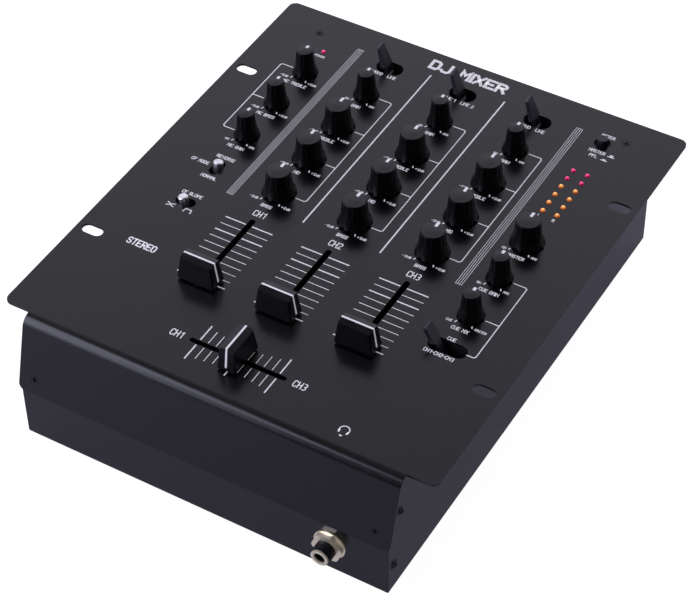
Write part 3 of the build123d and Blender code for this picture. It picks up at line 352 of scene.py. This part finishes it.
MATERIALS = {
    "powder_black": powder_coat(),
    "black_screws": metal("screw_black", (0.055, 0.055, 0.062), 0.30),
    "zinc_screws": metal("zinc_plate", (0.62, 0.63, 0.62), 0.30),
    "rubber": rubber(),
    "pot_metal": metal("pot_cover", (0.55, 0.54, 0.50), 0.34),
    "dark_steel": metal("dark_steel", (0.010, 0.010, 0.011), 0.55, streak=(1, 1, 8)),
    "switch_plastic": moulded("switch_housing", (0.010, 0.010, 0.012), 0.5),
    "led_red": lamp("lamp_red", (1.0, 0.045, 0.24), (0.20, 0.0, 0.035), 1.1),
    "led_amber": lamp("lamp_amber", (1.0, 0.55, 0.15), (0.36, 0.075, 0.004), 1.1),
    "circuit_board": board_green(),
    "component_black": moulded("component_epoxy", (0.016, 0.016, 0.016), 0.55),
    "cable_grey": ribbon(),
    "jack_plastic": moulded("jack_housing", (0.008, 0.008, 0.010), 0.42),
    # The nickel glows a little: painted light that brightens the plating.
    "nickel": metal("nickel_plate", (0.98, 0.89, 0.70), 0.32, glow=0.13),
    "knob_plastic": knob_plastic(),
    "cap_plastic": moulded("fader_cap_plastic", (0.0020, 0.0019, 0.0034), 0.30, shine=0.3),
    "lever_plastic": moulded("lever_plastic", (0.0115, 0.0110, 0.0170), 0.36),
    "lever_metal": metal("lever_plate", (0.88, 0.88, 0.90), 0.36, streak=(1, 1, 0.2)),
}
PRINT = print_ink()


# ---------------------------------------------------------------- mesh helpers


def as_object(name, mesh_data, material, place=(0, 0, 0)):
    """A new object from a bmesh whose units are millimetres."""
    mesh = bpy.data.meshes.new(name)
    bmesh.ops.scale(mesh_data, vec=(MM, MM, MM), verts=mesh_data.verts)
    mesh_data.to_mesh(mesh)
    mesh_data.free()
    made = bpy.data.objects.new(name, mesh)
    made.location = Vector(place) * MM
    bpy.context.scene.collection.objects.link(made)
    made.data.materials.append(material)
    return made


def add_prism(mesh_data, outline, low=-INK, high=INK):
    """A closed prism over a flat outline of (x, y) points, by default as thin as ink."""
    bottom = [mesh_data.verts.new((x, y, low)) for x, y in outline]
    top = [mesh_data.verts.new((x, y, high)) for x, y in outline]
    mesh_data.faces.new(bottom[::-1])
    mesh_data.faces.new(top)
    for index in range(len(outline)):
        after = (index + 1) % len(outline)
        mesh_data.faces.new((bottom[index], bottom[after], top[after], top[index]))


def add_bar(ink, start_point, end_point, width):
    """A straight printed line."""
    add_stroke(ink, [start_point, end_point], width, 0)


def add_stroke(ink, points, width, cap=0.5):
    """A printed line through points, mitred at its corners; cap is how far free ends reach, in widths."""
    points = [Vector(point) for point in points]
    closed = (points[0] - points[-1]).length < 1e-6
    count = len(points)
    left, right = [], []
    for index, point in enumerate(points):
        before = points[index - 1] if index else (points[-2] if closed else None)
        after = points[index + 1] if index < count - 1 else (points[1] if closed else None)
        came = (point - before).normalized() if before is not None else None
        goes = (after - point).normalized() if after is not None else None
        along = ((came or goes) + (goes or came)).normalized()
        normal = Vector((-along.y, along.x))
        reach = width / 2 / max(0.45, along.dot(goes or came))
        end = Vector((0, 0))
        if came is None or goes is None:
            end = along * width * cap * (1 if goes is None else -1)
        left.append(point + end + normal * reach)
        right.append(point + end - normal * reach)
    for index in range(count - 1):
        add_prism(ink, [right[index], right[index + 1], left[index + 1], left[index]])


def arc(centre, radius, start_deg, end_deg, steps=16):
    """Points along a circular arc."""
    turns = [math.radians(start_deg + (end_deg - start_deg) * i / steps) for i in range(steps + 1)]
    return [(centre[0] + radius * math.cos(t), centre[1] + radius * math.sin(t)) for t in turns]


# ---------------------------------------------------------------- lettering

# Each sign is drawn by strokes through grid points written "xy": x runs 0 to 4, y runs 0 to 6 at cap height.
SIGNS = {
    "A": "00 05 16 36 45 40|03 43",
    "B": "00 06 36 45 44 33 03|33 42 41 30 00",
    "C": "45 36 16 05 01 10 30 41",
    "D": "00 06 36 45 41 30 00",
    "E": "46 06 00 40|03 33",
    "F": "46 06 00|03 33",
    "G": "45 36 16 05 01 10 30 41 43 23",
    "H": "00 06|40 46|03 43",
    "I": "00 06",
    "J": "46 41 30 10 01",
    "L": "06 00 40",
    "M": "00 06 23 46 40",
    "N": "00 06 40 46",
    "O": "05 16 36 45 41 30 10 01 05",
    "P": "00 06 36 45 44 33 03",
    "R": "00 06 36 45 44 33 03|23 40",
    "S": "45 36 16 05 04 13 33 42 41 30 10 01",
    "T": "06 46|26 20",
    "U": "06 01 10 30 41 46",
    "V": "06 20 46",
    "W": "06 10 23 30 46",
    "X": "00 46|06 40",
    "d": "46 40 10 01 03 14 44",
    "1": "15 36 30",
    "2": "05 16 36 45 44 00 40",
    "3": "16 36 45 44 33 23|33 42 41 30 10",
    "5": "46 06 03 33 42 41 30 10 01",
    "+": "03 43|25 21",
    "-": "03 33",
    " ": "",
}
GRID_HEIGHT = 6
SIGN_GAP = 1.7
SPACE = 2.4


def word_strokes(text):
    """Strokes of a word on the sign grid, and the word's width."""
    strokes = []
    pen = 0.0
    for sign in text:
        paths = [[(int(p[0]), int(p[1])) for p in path.split()] for path in SIGNS[sign].split("|") if path]
        strokes += [[(pen + x, y) for x, y in path] for path in paths]
        width = max((x for path in paths for x, _ in path), default=SPACE)
        pen += width + SIGN_GAP
    return strokes, pen - SIGN_GAP


def add_word(mesh_data, text, place, cap_height, anchor="middle", width_share=0.83, weight=0.2):
    """Prints a word; place is the middle, left or right end of its baseline."""
    strokes, width = word_strokes(text)
    unit = cap_height / GRID_HEIGHT
    shift = {"middle": width / 2, "left": 0, "right": width}[anchor]
    for stroke in strokes:
        points = [(place[0] + (x - shift) * unit * width_share, place[1] + y * unit) for x, y in stroke]
        add_stroke(mesh_data, points, cap_height * weight)


def finish_print(name, mesh_data, matrix=None):
    """Turns flat ink into an object on the panel, or on another face whose matrix is given."""
    made = as_object(name, mesh_data, PRINT)
    made.matrix_world = matrix or Matrix.Translation((0, 0, PANEL_TOP * MM))
    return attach(made, "case")


LABEL = 2.1
CHANNEL_LABEL = 4.0
CHANNEL_SHAPE = {"width_share": 0.70, "weight": 0.15}
SMALL_KNOB = {"title": 12.9, "ends": 8.9, "tick": (4.7, 7.6), "end_gap": 6.6}
LARGE_KNOB = {"title": 14.2, "ends": 10.5, "tick": (5.6, 9.3), "end_gap": 7.4}


def knob_print(mesh_data, node, title, ends, size):
    """Title below the knob, and a slanted mark with a word at each end of its turn."""
    x, y = spot(node)
    if title:
        add_word(mesh_data, title, (x, y - size["title"]), LABEL)
    tick_x, tick_y = size["tick"]
    for side, word, anchor in ((-1, ends[0], "right"), (1, ends[1], "left")):
        inner = (x + side * (tick_x - 0.35), y - tick_y + 0.75)
        outer = (x + side * (tick_x + 0.35), y - tick_y - 0.75)
        add_bar(mesh_data, inner, outer, 0.7)
        add_word(mesh_data, word, (x + side * size["end_gap"], y - size["ends"]), 1.45, anchor)


def print_lettering():
    ink = bmesh.new()
    level = ("MIN", "MAX")
    tone = ("-12dB", "+12dB")
    for node, title in zip(MIC_KNOBS, ("MIC TREBLE", "MIC BASS", "MIC GAIN")):
        knob_print(ink, node, title, level if node == "knob_mic_gain" else tone, SMALL_KNOB)
    for channel in CHANNELS:
        x = CHANNEL_X[channel]
        knob_print(ink, channel_knob(channel, "gain"), "GAIN", level, SMALL_KNOB)
        for row in EQ_ROWS[1:]:
            knob_print(ink, channel_knob(channel, row), row.upper(), tone, LARGE_KNOB)
        add_word(ink, f"CH{channel}", (x + 0.3, ROW_Y["bass"] - 22.4), CHANNEL_LABEL, **CHANNEL_SHAPE)
        lever_y = spot(f"input_lever_channel_{channel}")[1]
        words = ("LINE 1", "LINE 2") if channel == 2 else ("PHONO", "LINE")
        add_word(ink, words[0], (x - 1.0, lever_y - 7.9), LABEL, "right")
        add_word(ink, words[1], (x + 2.6, lever_y - 7.9), LABEL, "left")
    knob_print(ink, "knob_master", "MASTER", level, LARGE_KNOB)
    knob_print(ink, "knob_cue_gain", "CUE GAIN", level, SMALL_KNOB)
    knob_print(ink, "knob_cue_mix", "CUE MIX", ("CUE", "MASTER"), SMALL_KNOB)
    print_switch_words(ink)
    finish_print("printed_lettering", ink)


def print_switch_words(ink):
    """Words at the switches, the meter, the crossfader and the maker's place at the rear edge."""
    column = MASTER_X
    lever_y = spot("cue_lever")[1]
    add_word(ink, "CUE", (column - 0.2, lever_y + 5.0), LABEL)
    add_word(ink, "CH1-CH2-CH3", (column - 1.0, lever_y - 7.5), LABEL)
    button_x, button_y = spot("meter_button")
    add_word(ink, "METER", (button_x + 0.6, button_y + 5.6), LABEL)
    add_word(ink, "MASTER", (button_x - 4.3, button_y - 8.4), LABEL, "left")
    add_word(ink, "PFL", (button_x - 2.2, button_y - 12.4), LABEL, "left")
    mode_x = spot("crossfader_mode_lever")[0]
    add_word(ink, "CF MODE", (mode_x - 5.9, 7.8), LABEL, "right")
    add_word(ink, "REVERSE", (mode_x, 16.2), LABEL)
    add_word(ink, "NORMAL", (mode_x, -1.3), LABEL)
    add_word(ink, "CF SLOPE", (mode_x, -17.4), LABEL)
    fader_x, fader_y = spot("crossfader")
    add_word(ink, "CH1", (fader_x - 36.4, fader_y - 2.0), CHANNEL_LABEL, **CHANNEL_SHAPE)
    add_word(ink, "CH3", (fader_x + 36.4, fader_y - 2.0), CHANNEL_LABEL, **CHANNEL_SHAPE)
    add_word(ink, "POWER", (LEFT + 39.8, 117.3), 1.6)
    add_word(ink, "L", (LEFT + 209.5, 59.8), 1.9)
    add_word(ink, "R", (LEFT + 218.0, 59.8), 1.9)
    add_word(ink, "DJ MIXER", (LEFT + 122.6, 140.4), 6.6, width_share=1.12, weight=0.28)
    add_word(ink, "STEREO", (LEFT + 30.3, -64.5), 4.2, "left", width_share=0.75, weight=0.2)


# ---------------------------------------------------------------- printed lines and icons

RULE_FOOT = -6.0
RULE_HEAD = 134.5
RULE_WIDTH = 0.85
BRACKET = 0.6
BRACKET_CORNER = 0.9
HEAVY_TICK = 0.75
LIGHT_TICK = 0.42
SLOT_MARGIN = 1.95
CHANNEL_TICKS = 10
CHANNEL_PITCH = 5.2
CHANNEL_REACH = 14.6
CROSS_TICKS = 10
CROSS_PITCH = 4.71


def print_fader_scales():
    """Ten ticks on each side of a channel fader's slot, and the fan of ticks at the crossfader."""
    ink = bmesh.new()
    heavy = (0, 7, 9)
    for channel in CHANNELS:
        x, rest_y = spot(f"fader_channel_{channel}")
        for step in range(CHANNEL_TICKS):
            y = rest_y + CHANNEL_PITCH * step
            width = HEAVY_TICK if step in heavy else LIGHT_TICK
            for side in (-1, 1):
                add_bar(ink, (x + side * SLOT_MARGIN, y), (x + side * CHANNEL_REACH, y), width)
    x, y = spot("crossfader")
    for step in range(CROSS_TICKS + 1):
        across = x + (step - CROSS_TICKS / 2) * CROSS_PITCH
        far = abs(step - CROSS_TICKS / 2) / (CROSS_TICKS / 2)
        long_tick = step in (0, CROSS_TICKS // 2, CROSS_TICKS)
        reach = 13.0 if long_tick else 7.6 + 3.6 * far
        for side in (-1, 1):
            tick = ((across, y + side * SLOT_MARGIN), (across, y + side * reach))
            add_bar(ink, *tick, HEAVY_TICK if long_tick else LIGHT_TICK)
    finish_print("printed_fader_scales", ink)


def print_lines():
    """Separators between the channels and brackets that join the knobs."""
    ink = bmesh.new()
    for channel in CHANNELS[:-1]:
        x = CHANNEL_X[channel] + 23.5
        add_bar(ink, (x, RULE_FOOT), (x, RULE_HEAD), RULE_WIDTH)
    thin = BRACKET
    corner = BRACKET_CORNER
    rows = [ROW_Y[row] for row in EQ_ROWS]
    for channel in CHANNELS:
        x = CHANNEL_X[channel]
        spine = x + 16.6
        add_stroke(ink, [(x + 8.6, rows[0]), (spine - corner, rows[0]), (spine, rows[0] - corner),
                         (spine, rows[-1] + corner), (spine - corner, rows[-1]), (x + 10.4, rows[-1])], thin)
        for y in rows[1:-1]:
            add_bar(ink, (x + 10.4, y), (spine, y), thin)
    spine = MIC_X - 15.8
    top, middle, bottom = (spot(node)[1] for node in MIC_KNOBS)
    add_stroke(ink, [(MIC_X - 8.4, top), (spine + corner, top), (spine, top - corner),
                     (spine, bottom + corner), (spine + corner, bottom), (MIC_X - 8.4, bottom)], thin)
    add_bar(ink, (MIC_X - 8.4, middle), (spine, middle), thin)
    spine = MASTER_X + 16.2
    lever_y = spot("cue_lever")[1]
    add_stroke(ink, [(MASTER_X + 8.4, CUE_GAIN_Y), (spine - corner, CUE_GAIN_Y), (spine, CUE_GAIN_Y - corner),
                     (spine, lever_y + corner), (spine - corner, lever_y), (MASTER_X + 11.6, lever_y)], thin)
    add_bar(ink, (MASTER_X + 8.4, CUE_MIX_Y), (spine, CUE_MIX_Y), thin)
    finish_print("printed_lines", ink)


def print_hatched_bands():
    """Two tall bands of fine parallel lines closed at their ends."""
    ink = bmesh.new()
    width = 3.6
    lines = 4
    for left in (LEFT + 55.7, LEFT + 195.4):
        for line in range(lines):
            x = left + width * line / (lines - 1)
            add_bar(ink, (x, RULE_FOOT), (x, RULE_HEAD), 0.26)
        for y in (RULE_FOOT, RULE_HEAD):
            add_bar(ink, (left - 0.1, y), (left + width + 0.1, y), 0.25)
    finish_print("printed_bands", ink)


def print_icons():
    """Headphones at the front edge, the two slope curves, and the two states of the meter button."""
    ink = bmesh.new()
    x, y = LEFT + 197.4, -122.3
    add_stroke(ink, arc((x, y), 2.7, -25, 205, 22), 0.6)
    for side in (-1, 1):
        cup = [(x + side * 1.75, y - 2.3), (x + side * 2.75, y - 2.0), (x + side * 2.95, y - 0.2),
               (x + side * 1.85, y - 0.4)]
        add_prism(ink, cup[:: side])
    tip = [(x - 1.1, y - 3.4), (x + 1.1, y - 3.4), (x, y - 4.6)]
    add_prism(ink, tip[::-1])
    x, y = LEFT + 34.6, -28.7
    for side in (-1, 1):
        add_stroke(ink, [(x - 2.2, y - side * 1.1), (x - 1.0, y - side * 0.8), (x + 1.0, y + side * 0.8),
                         (x + 2.2, y + side * 1.1)], 0.6)
    x, y = LEFT + 45.4, -28.7
    add_stroke(ink, [(x - 2.2, y - 1.2), (x - 1.8, y + 1.2), (x + 1.8, y + 1.2), (x + 2.2, y - 1.2)], 0.6)
    button_x, button_y = spot("meter_button")
    for row, pressed in ((-7.3, False), (-11.5, True)):
        left = button_x + (6.9 if not pressed else 4.6)
        base = button_y + row
        top = base + (0.9 if not pressed else 0.2)
        near, far = left + 1.1, left + 3.1
        add_bar(ink, (left, base - 0.9), (left + 4.2, base - 0.9), 0.5)
        add_prism(ink, [(near, base - 0.7), (far, base - 0.7), (far, top), (near, top)])
    finish_print("printed_icons", ink)


def print_rear():
    """Words over the sockets on the rear panel, read from behind."""
    ink = bmesh.new()
    block_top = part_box("phono_jack_housings")[1].z / MM + 2.2
    columns = {
        -66.0: ("MASTER", "REC"),
        -26.0: ("CH3 PHONO", "CH3 LINE"),
        14.0: ("CH2 LINE 1", "CH2 LINE 2"),
        56.0: ("CH1 PHONO", "CH1 LINE"),
    }
    for middle, words in columns.items():
        for side, word in zip((-1, 1), words):
            for line, text in enumerate(reversed(word.split(" ", 1))):
                add_word(ink, text, (-middle - side * 8.0, block_top + 3.4 * line), 1.9)
        for row, sign in ((50.0, "L"), (34.0, "R")):
            add_word(ink, sign, (-middle, row - 1.0), 2.2)
    for node, text, drop in (("ground_post", "GND", 9.0), ("power_inlet", "POWER", 9.0),
                             ("microphone_jack_body", "MIC", 11.0)):
        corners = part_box(node)
        middle = (corners[0] + corners[1]) / 2 / MM
        add_word(ink, text, (-middle.x, middle.z - drop), 2.2)
    face = Matrix(((-1, 0, 0, 0), (0, 0, 1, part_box("rear_panel")[1].y), (0, 1, 0, 0), (0, 0, 0, 1)))
    finish_print("printed_rear", ink, face)


# ---------------------------------------------------------------- knobs

FLUTES = 12
FLUTE_R = 1.5
FLUTE_DEPTH = 0.3
SCALLOP_R = 1.9
SCALLOP_DEPTH = 0.75
KNOB_RADII = {"small": (7.45, 5.75, 4.7, 4.0), "large": (9.65, 7.6, 6.75, 5.9)}
KNOB_GAP = 0.5
WAIST_Z = 5.2
SHAFT_R = 3.0


def scalloped(radius, angle, centre, cutter):
    """The radius left after a round cutter, whose middle is at distance centre, has passed this angle."""
    across = centre * math.sin(angle)
    if abs(across) >= cutter:
        return radius
    return min(radius, centre * math.cos(angle) - math.sqrt(cutter * cutter - across * across))


def knob_sections(size, height):
    """Rings of the knob from its underside to the crown: radius, height, flute cut, scallop cut."""
    skirt, waist, top, disc = KNOB_RADII[size]
    shoulder = height - 1.1
    foot = KNOB_GAP + 0.4
    rings = [(skirt - 0.35, KNOB_GAP, 0, 1), (skirt - 0.1, KNOB_GAP + 0.1, 0, 1), (skirt, foot, 0, 1)]
    flare_steps = 9
    for step in range(1, flare_steps + 1):
        share = step / flare_steps
        bow = math.sin(math.pi * share) * 0.22
        rings.append((skirt + (waist - skirt) * share - bow, foot + (WAIST_Z - foot) * share, 0, 1))
    body_steps = 12
    for step in range(1, body_steps + 1):
        share = step / body_steps
        z = WAIST_Z + (shoulder - WAIST_Z) * share
        cut = FLUTE_DEPTH * min(1.0, share * 2.5) * min(1.0, (1 - share) * 8 + 0.35)
        rings.append((waist + (top - waist) * share, z, cut, 1))
    rim_steps = 6
    for step in range(1, rim_steps + 1):
        turn = math.pi / 2 * step / rim_steps
        r = top - (top - disc) * (1 - math.cos(turn))
        rings.append((r, shoulder + 0.85 * math.sin(turn), 0.1 * (1 - step / rim_steps), 0))
    rings.append((disc - 0.25, height - 0.25, 0, 0))
    for share in (0.9, 0.65, 0.4, 0.15):
        rings.append(((disc - 0.35) * share, height - 0.3 + 0.3 * (1 - share * share), 0, 0))
    return rings


def revolve(mesh_data, rings, steps, size_r=None):
    """Joins rings of vertices into a skin; the first and last ring are closed by faces."""
    rows = []
    for radius, z, cut, scallop in rings:
        row = []
        for step in range(steps):
            angle = 2 * math.pi * step / steps
            from_flute = (angle + math.pi / FLUTES) % (2 * math.pi / FLUTES) - math.pi / FLUTES
            nearest = from_flute - math.copysign(math.pi / FLUTES, from_flute)
            r = radius
            if cut:
                r = scalloped(r, nearest, radius - cut + FLUTE_R, FLUTE_R)
            if scallop and size_r:
                r = scalloped(r, nearest, size_r - SCALLOP_DEPTH + SCALLOP_R, SCALLOP_R)
            row.append(mesh_data.verts.new((r * math.cos(angle), r * math.sin(angle), z)))
        rows.append(row)
    for low, high in zip(rows, rows[1:]):
        for step in range(steps):
            after = (step + 1) % steps
            mesh_data.faces.new((low[step], low[after], high[after], high[step]))
    mesh_data.faces.new(rows[0][::-1])
    mesh_data.faces.new(rows[-1])


def knob_mesh(size, height, shaft_foot):
    """One knob with its cavity over the nut, and the shaft that it is pressed on."""
    skirt = KNOB_RADII[size][0]
    cavity = 5.4 if size == "small" else 5.8
    cavity_top = 5.6
    mesh_data = bmesh.new()
    steps = FLUTES * 14
    inner = [(0.4, cavity_top, 0, 0), (cavity - 0.2, cavity_top, 0, 0), (cavity, cavity_top - 0.2, 0, 0),
             (cavity, KNOB_GAP, 0, 0)]
    revolve(mesh_data, inner + knob_sections(size, height), steps, skirt)
    shaft = [(SHAFT_R, shaft_foot, 0, 0), (SHAFT_R, cavity_top - 0.2, 0, 0)]
    revolve(mesh_data, shaft, 40)
    mesh = bpy.data.meshes.new(f"knob_{size}")
    bmesh.ops.scale(mesh_data, vec=(MM, MM, MM), verts=mesh_data.verts)
    mesh_data.to_mesh(mesh)
    mesh_data.free()
    mesh.materials.append(MATERIALS["knob_plastic"])
    mesh.shade_smooth()
    mesh.set_sharp_from_angle(angle=math.radians(40))
    return mesh


def pointer_mesh(size, height):
    """The white mark: a thin inlay that starts on the crown and runs over the rear edge."""
    sections = knob_sections(size, height)
    inner = KNOB_RADII[size][-1] * 0.48
    shoulder = height - 1.1
    path = [(r, z) for r, z, _, _ in sections if z > shoulder - 2.2 and r > inner]
    path.append((inner, height - 0.2))
    width = 0.8
    proud = 0.12
    sunk = 0.25
    mesh_data = bmesh.new()
    loops = []
    for index, (r, z) in enumerate(path):
        before = path[max(index - 1, 0)]
        after = path[min(index + 1, len(path) - 1)]
        along = Vector((after[0] - before[0], after[1] - before[1])).normalized()
        normal = Vector((along.y, -along.x))
        outer = Vector((r, z)) + normal * proud
        inside = Vector((r, z)) - normal * sunk
        loops.append([mesh_data.verts.new(point) for point in (
            (-width, outer.x, outer.y), (width, outer.x, outer.y),
            (width, inside.x, inside.y), (-width, inside.x, inside.y))])
    for low, high in zip(loops, loops[1:]):
        for side in range(4):
            after = (side + 1) % 4
            mesh_data.faces.new((low[side], low[after], high[after], high[side]))
    mesh_data.faces.new(loops[0][::-1])
    mesh_data.faces.new(loops[-1])
    bmesh.ops.recalc_face_normals(mesh_data, faces=mesh_data.faces)
    mesh = bpy.data.meshes.new(f"pointer_{size}")
    bmesh.ops.scale(mesh_data, vec=(MM, MM, MM), verts=mesh_data.verts)
    mesh_data.to_mesh(mesh)
    mesh_data.free()
    mesh.materials.append(PRINT)
    return mesh


def build_knobs():
    """Every knob node gets its fluted knob and white pointer, riding on the knob's own body."""
    made = {}
    for node in sorted(frame["nodes"]):
        if not node.startswith("knob_"):
            continue
        low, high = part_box(node)
        size = "large" if (high.x - low.x) / 2 > 8.5 * MM else "small"
        height = high.z / MM - PANEL_TOP
        if size not in made:
            made[size] = (knob_mesh(size, height, low.z / MM - PANEL_TOP), pointer_mesh(size, height))
        x, y = spot(node)
        for suffix, mesh in zip(("cap", "pointer"), made[size]):
            piece = bpy.data.objects.new(f"{node}_{suffix}", mesh)
            piece.location = Vector((x, y, PANEL_TOP)) * MM
            bpy.context.scene.collection.objects.link(piece)
            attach(piece, node)
            if suffix == "cap":
                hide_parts(node)


# ---------------------------------------------------------------- fader caps


def build_cap_lines():
    """White line along each fader cap's ridge and down its two ends."""
    for node in [f"fader_channel_{channel}" for channel in CHANNELS] + ["crossfader"]:
        x, y = spot(node)
        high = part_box(node)[1].z / MM
        half_top, half_end = 9.2, 10.95
        stop = PANEL_TOP + 3.6
        width = 0.55
        proud = 0.06
        path = [(-half_end, stop), (-half_top, high), (half_top, high), (half_end, stop)]
        mesh_data = bmesh.new()
        loops = []
        for index, (across, z) in enumerate(path):
            sign = -1 if across < 0 else 1
            lift = proud if index in (1, 2) else 0
            outer = (across + sign * proud, z + lift)
            inside = (across - sign * 0.3, z - (0.3 if lift else 0))
            loops.append([(-width, *outer), (width, *outer), (width, *inside), (-width, *inside)])
        crosswise = node == "crossfader"
        rows = []
        for loop in loops:
            points = [(along, across) if crosswise else (across, along) for along, across, _ in loop]
            rows.append([mesh_data.verts.new((px, py, corner[2])) for (px, py), corner in zip(points, loop)])
        for low_row, high_row in zip(rows, rows[1:]):
            for side in range(4):
                after = (side + 1) % 4
                mesh_data.faces.new((low_row[side], low_row[after], high_row[after], high_row[side]))
        mesh_data.faces.new(rows[0])
        mesh_data.faces.new(rows[-1])
        bmesh.ops.recalc_face_normals(mesh_data, faces=mesh_data.faces)
        piece = as_object(f"{node}_line", mesh_data, PRINT, (x, y, 0))
        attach(piece, node)


# ---------------------------------------------------------------- finishes on the carried-over nodes


def paint_nodes():
    """Each shown CAD node takes the finish of its material slot."""
    for part in frame["record"]["subparts"]:
        piece = frame["nodes"][part["node"]]
        piece.data.materials.clear()
        piece.data.materials.append(MATERIALS[part["material_slot"]])


# ---------------------------------------------------------------- stage, light and camera


CAMERA_AZIMUTH = math.radians(31.04)


LIGHT_AIM = Vector((-0.1, -0.1, 0.08))


def area_light(name, place, size, power):
    data = bpy.data.lights.new(name, "AREA")
    data.shape = "RECTANGLE"
    data.size, data.size_y = size
    data.energy = power
    data.color = (0.93, 0.93, 1.20)
    made = bpy.data.objects.new(name, data)
    made.location = place
    made.rotation_euler = (LIGHT_AIM - Vector(place)).to_track_quat("-Z", "Y").to_euler()
    bpy.context.scene.collection.objects.link(made)


def build_stage():
    floor_data = bmesh.new()
    bmesh.ops.create_grid(floor_data, x_segments=8, y_segments=8, size=12000)
    material, tree, shader = start("pale_floor", 0.6)
    seen = put(tree, "ShaderNodeLightPath").outputs["Is Camera Ray"]
    tone = mixed(tree, spread(tree, speckle(tree, 40.0), 0, 1), (0.36, 0.36, 0.40), (0.38, 0.38, 0.42))
    glow = mixed(tree, seen, (0.168, 0.164, 0.222), (0.95, 0.95, 0.95))
    wire(tree, shader, Base_Color=tone, Emission_Color=glow, Emission_Strength=1.0)
    as_object("floor", floor_data, material)

    build_sky()
    area_light("softbox", (-0.81, -0.81, 0.98), (0.7, 0.95), 6.5)
    area_light("low_card", (-0.87, -1.16, 0.60), (0.72, 0.5), 2.3)
    area_light("floor_card", (-1.0, -1.38, 0.28), (0.62, 0.5), 1.1)


def build_sky():
    """A tent of white cloth behind the mixer, dark towards the viewer; plain white where it is seen."""
    world = bpy.data.worlds.new("studio")
    bpy.context.scene.world = world
    world.use_nodes = True
    tree = world.node_tree
    look = put(tree, "ShaderNodeTexCoord").outputs["Generated"]
    back = Vector((-math.sin(CAMERA_AZIMUTH), math.cos(CAMERA_AZIMUTH), 0))
    toward = put(tree, "ShaderNodeVectorMath", {0: look, 1: back}, operation="DOT_PRODUCT").outputs["Value"]
    height = put(tree, "ShaderNodeSeparateXYZ", {"Vector": look}).outputs["Z"]
    behind = spread(tree, toward, 0.04, 1.0, -0.30, 0.40)
    falloff = spread(tree, height, 1.0, 0.25, 0.62, 0.88)
    level = maths(tree, "MULTIPLY", behind, falloff)
    lit = mixed(tree, level, (0, 0, 0), (0.98, 0.955, 1.10))
    seen = put(tree, "ShaderNodeLightPath").outputs["Is Camera Ray"]
    tree.links.new(mixed(tree, seen, lit, (1, 1, 1)), tree.nodes["Background"].inputs["Color"])


def build_camera():
    """Looks at a point on the panel from the front right, a little rolled."""
    azimuth, elevation, roll = CAMERA_AZIMUTH, math.radians(44.94), math.radians(0.942)
    target = Vector((0.0267, -0.0443, PANEL_TOP * MM))
    distance = 1.1956
    away = Vector((math.sin(azimuth) * math.cos(elevation), -math.cos(azimuth) * math.cos(elevation),
                   math.sin(elevation)))
    data = bpy.data.cameras.new("camera")
    data.sensor_width = 36
    data.lens = 120.78
    data.clip_end = 60
    camera = bpy.data.objects.new("camera", data)
    camera.location = target + away * distance
    level = Euler((math.pi / 2 - elevation, 0, azimuth)).to_matrix()
    camera.rotation_euler = (level @ Matrix.Rotation(-roll, 3, "Z")).to_euler()
    bpy.context.scene.collection.objects.link(camera)
    bpy.context.scene.camera = camera


def main():
    paint_nodes()
    build_knobs()
    build_cap_lines()
    print_lettering()
    print_fader_scales()
    print_lines()
    print_hatched_bands()
    print_icons()
    print_rear()
    build_stage()
    build_camera()
    bpy.context.scene.view_settings.view_transform = "Standard"


main()
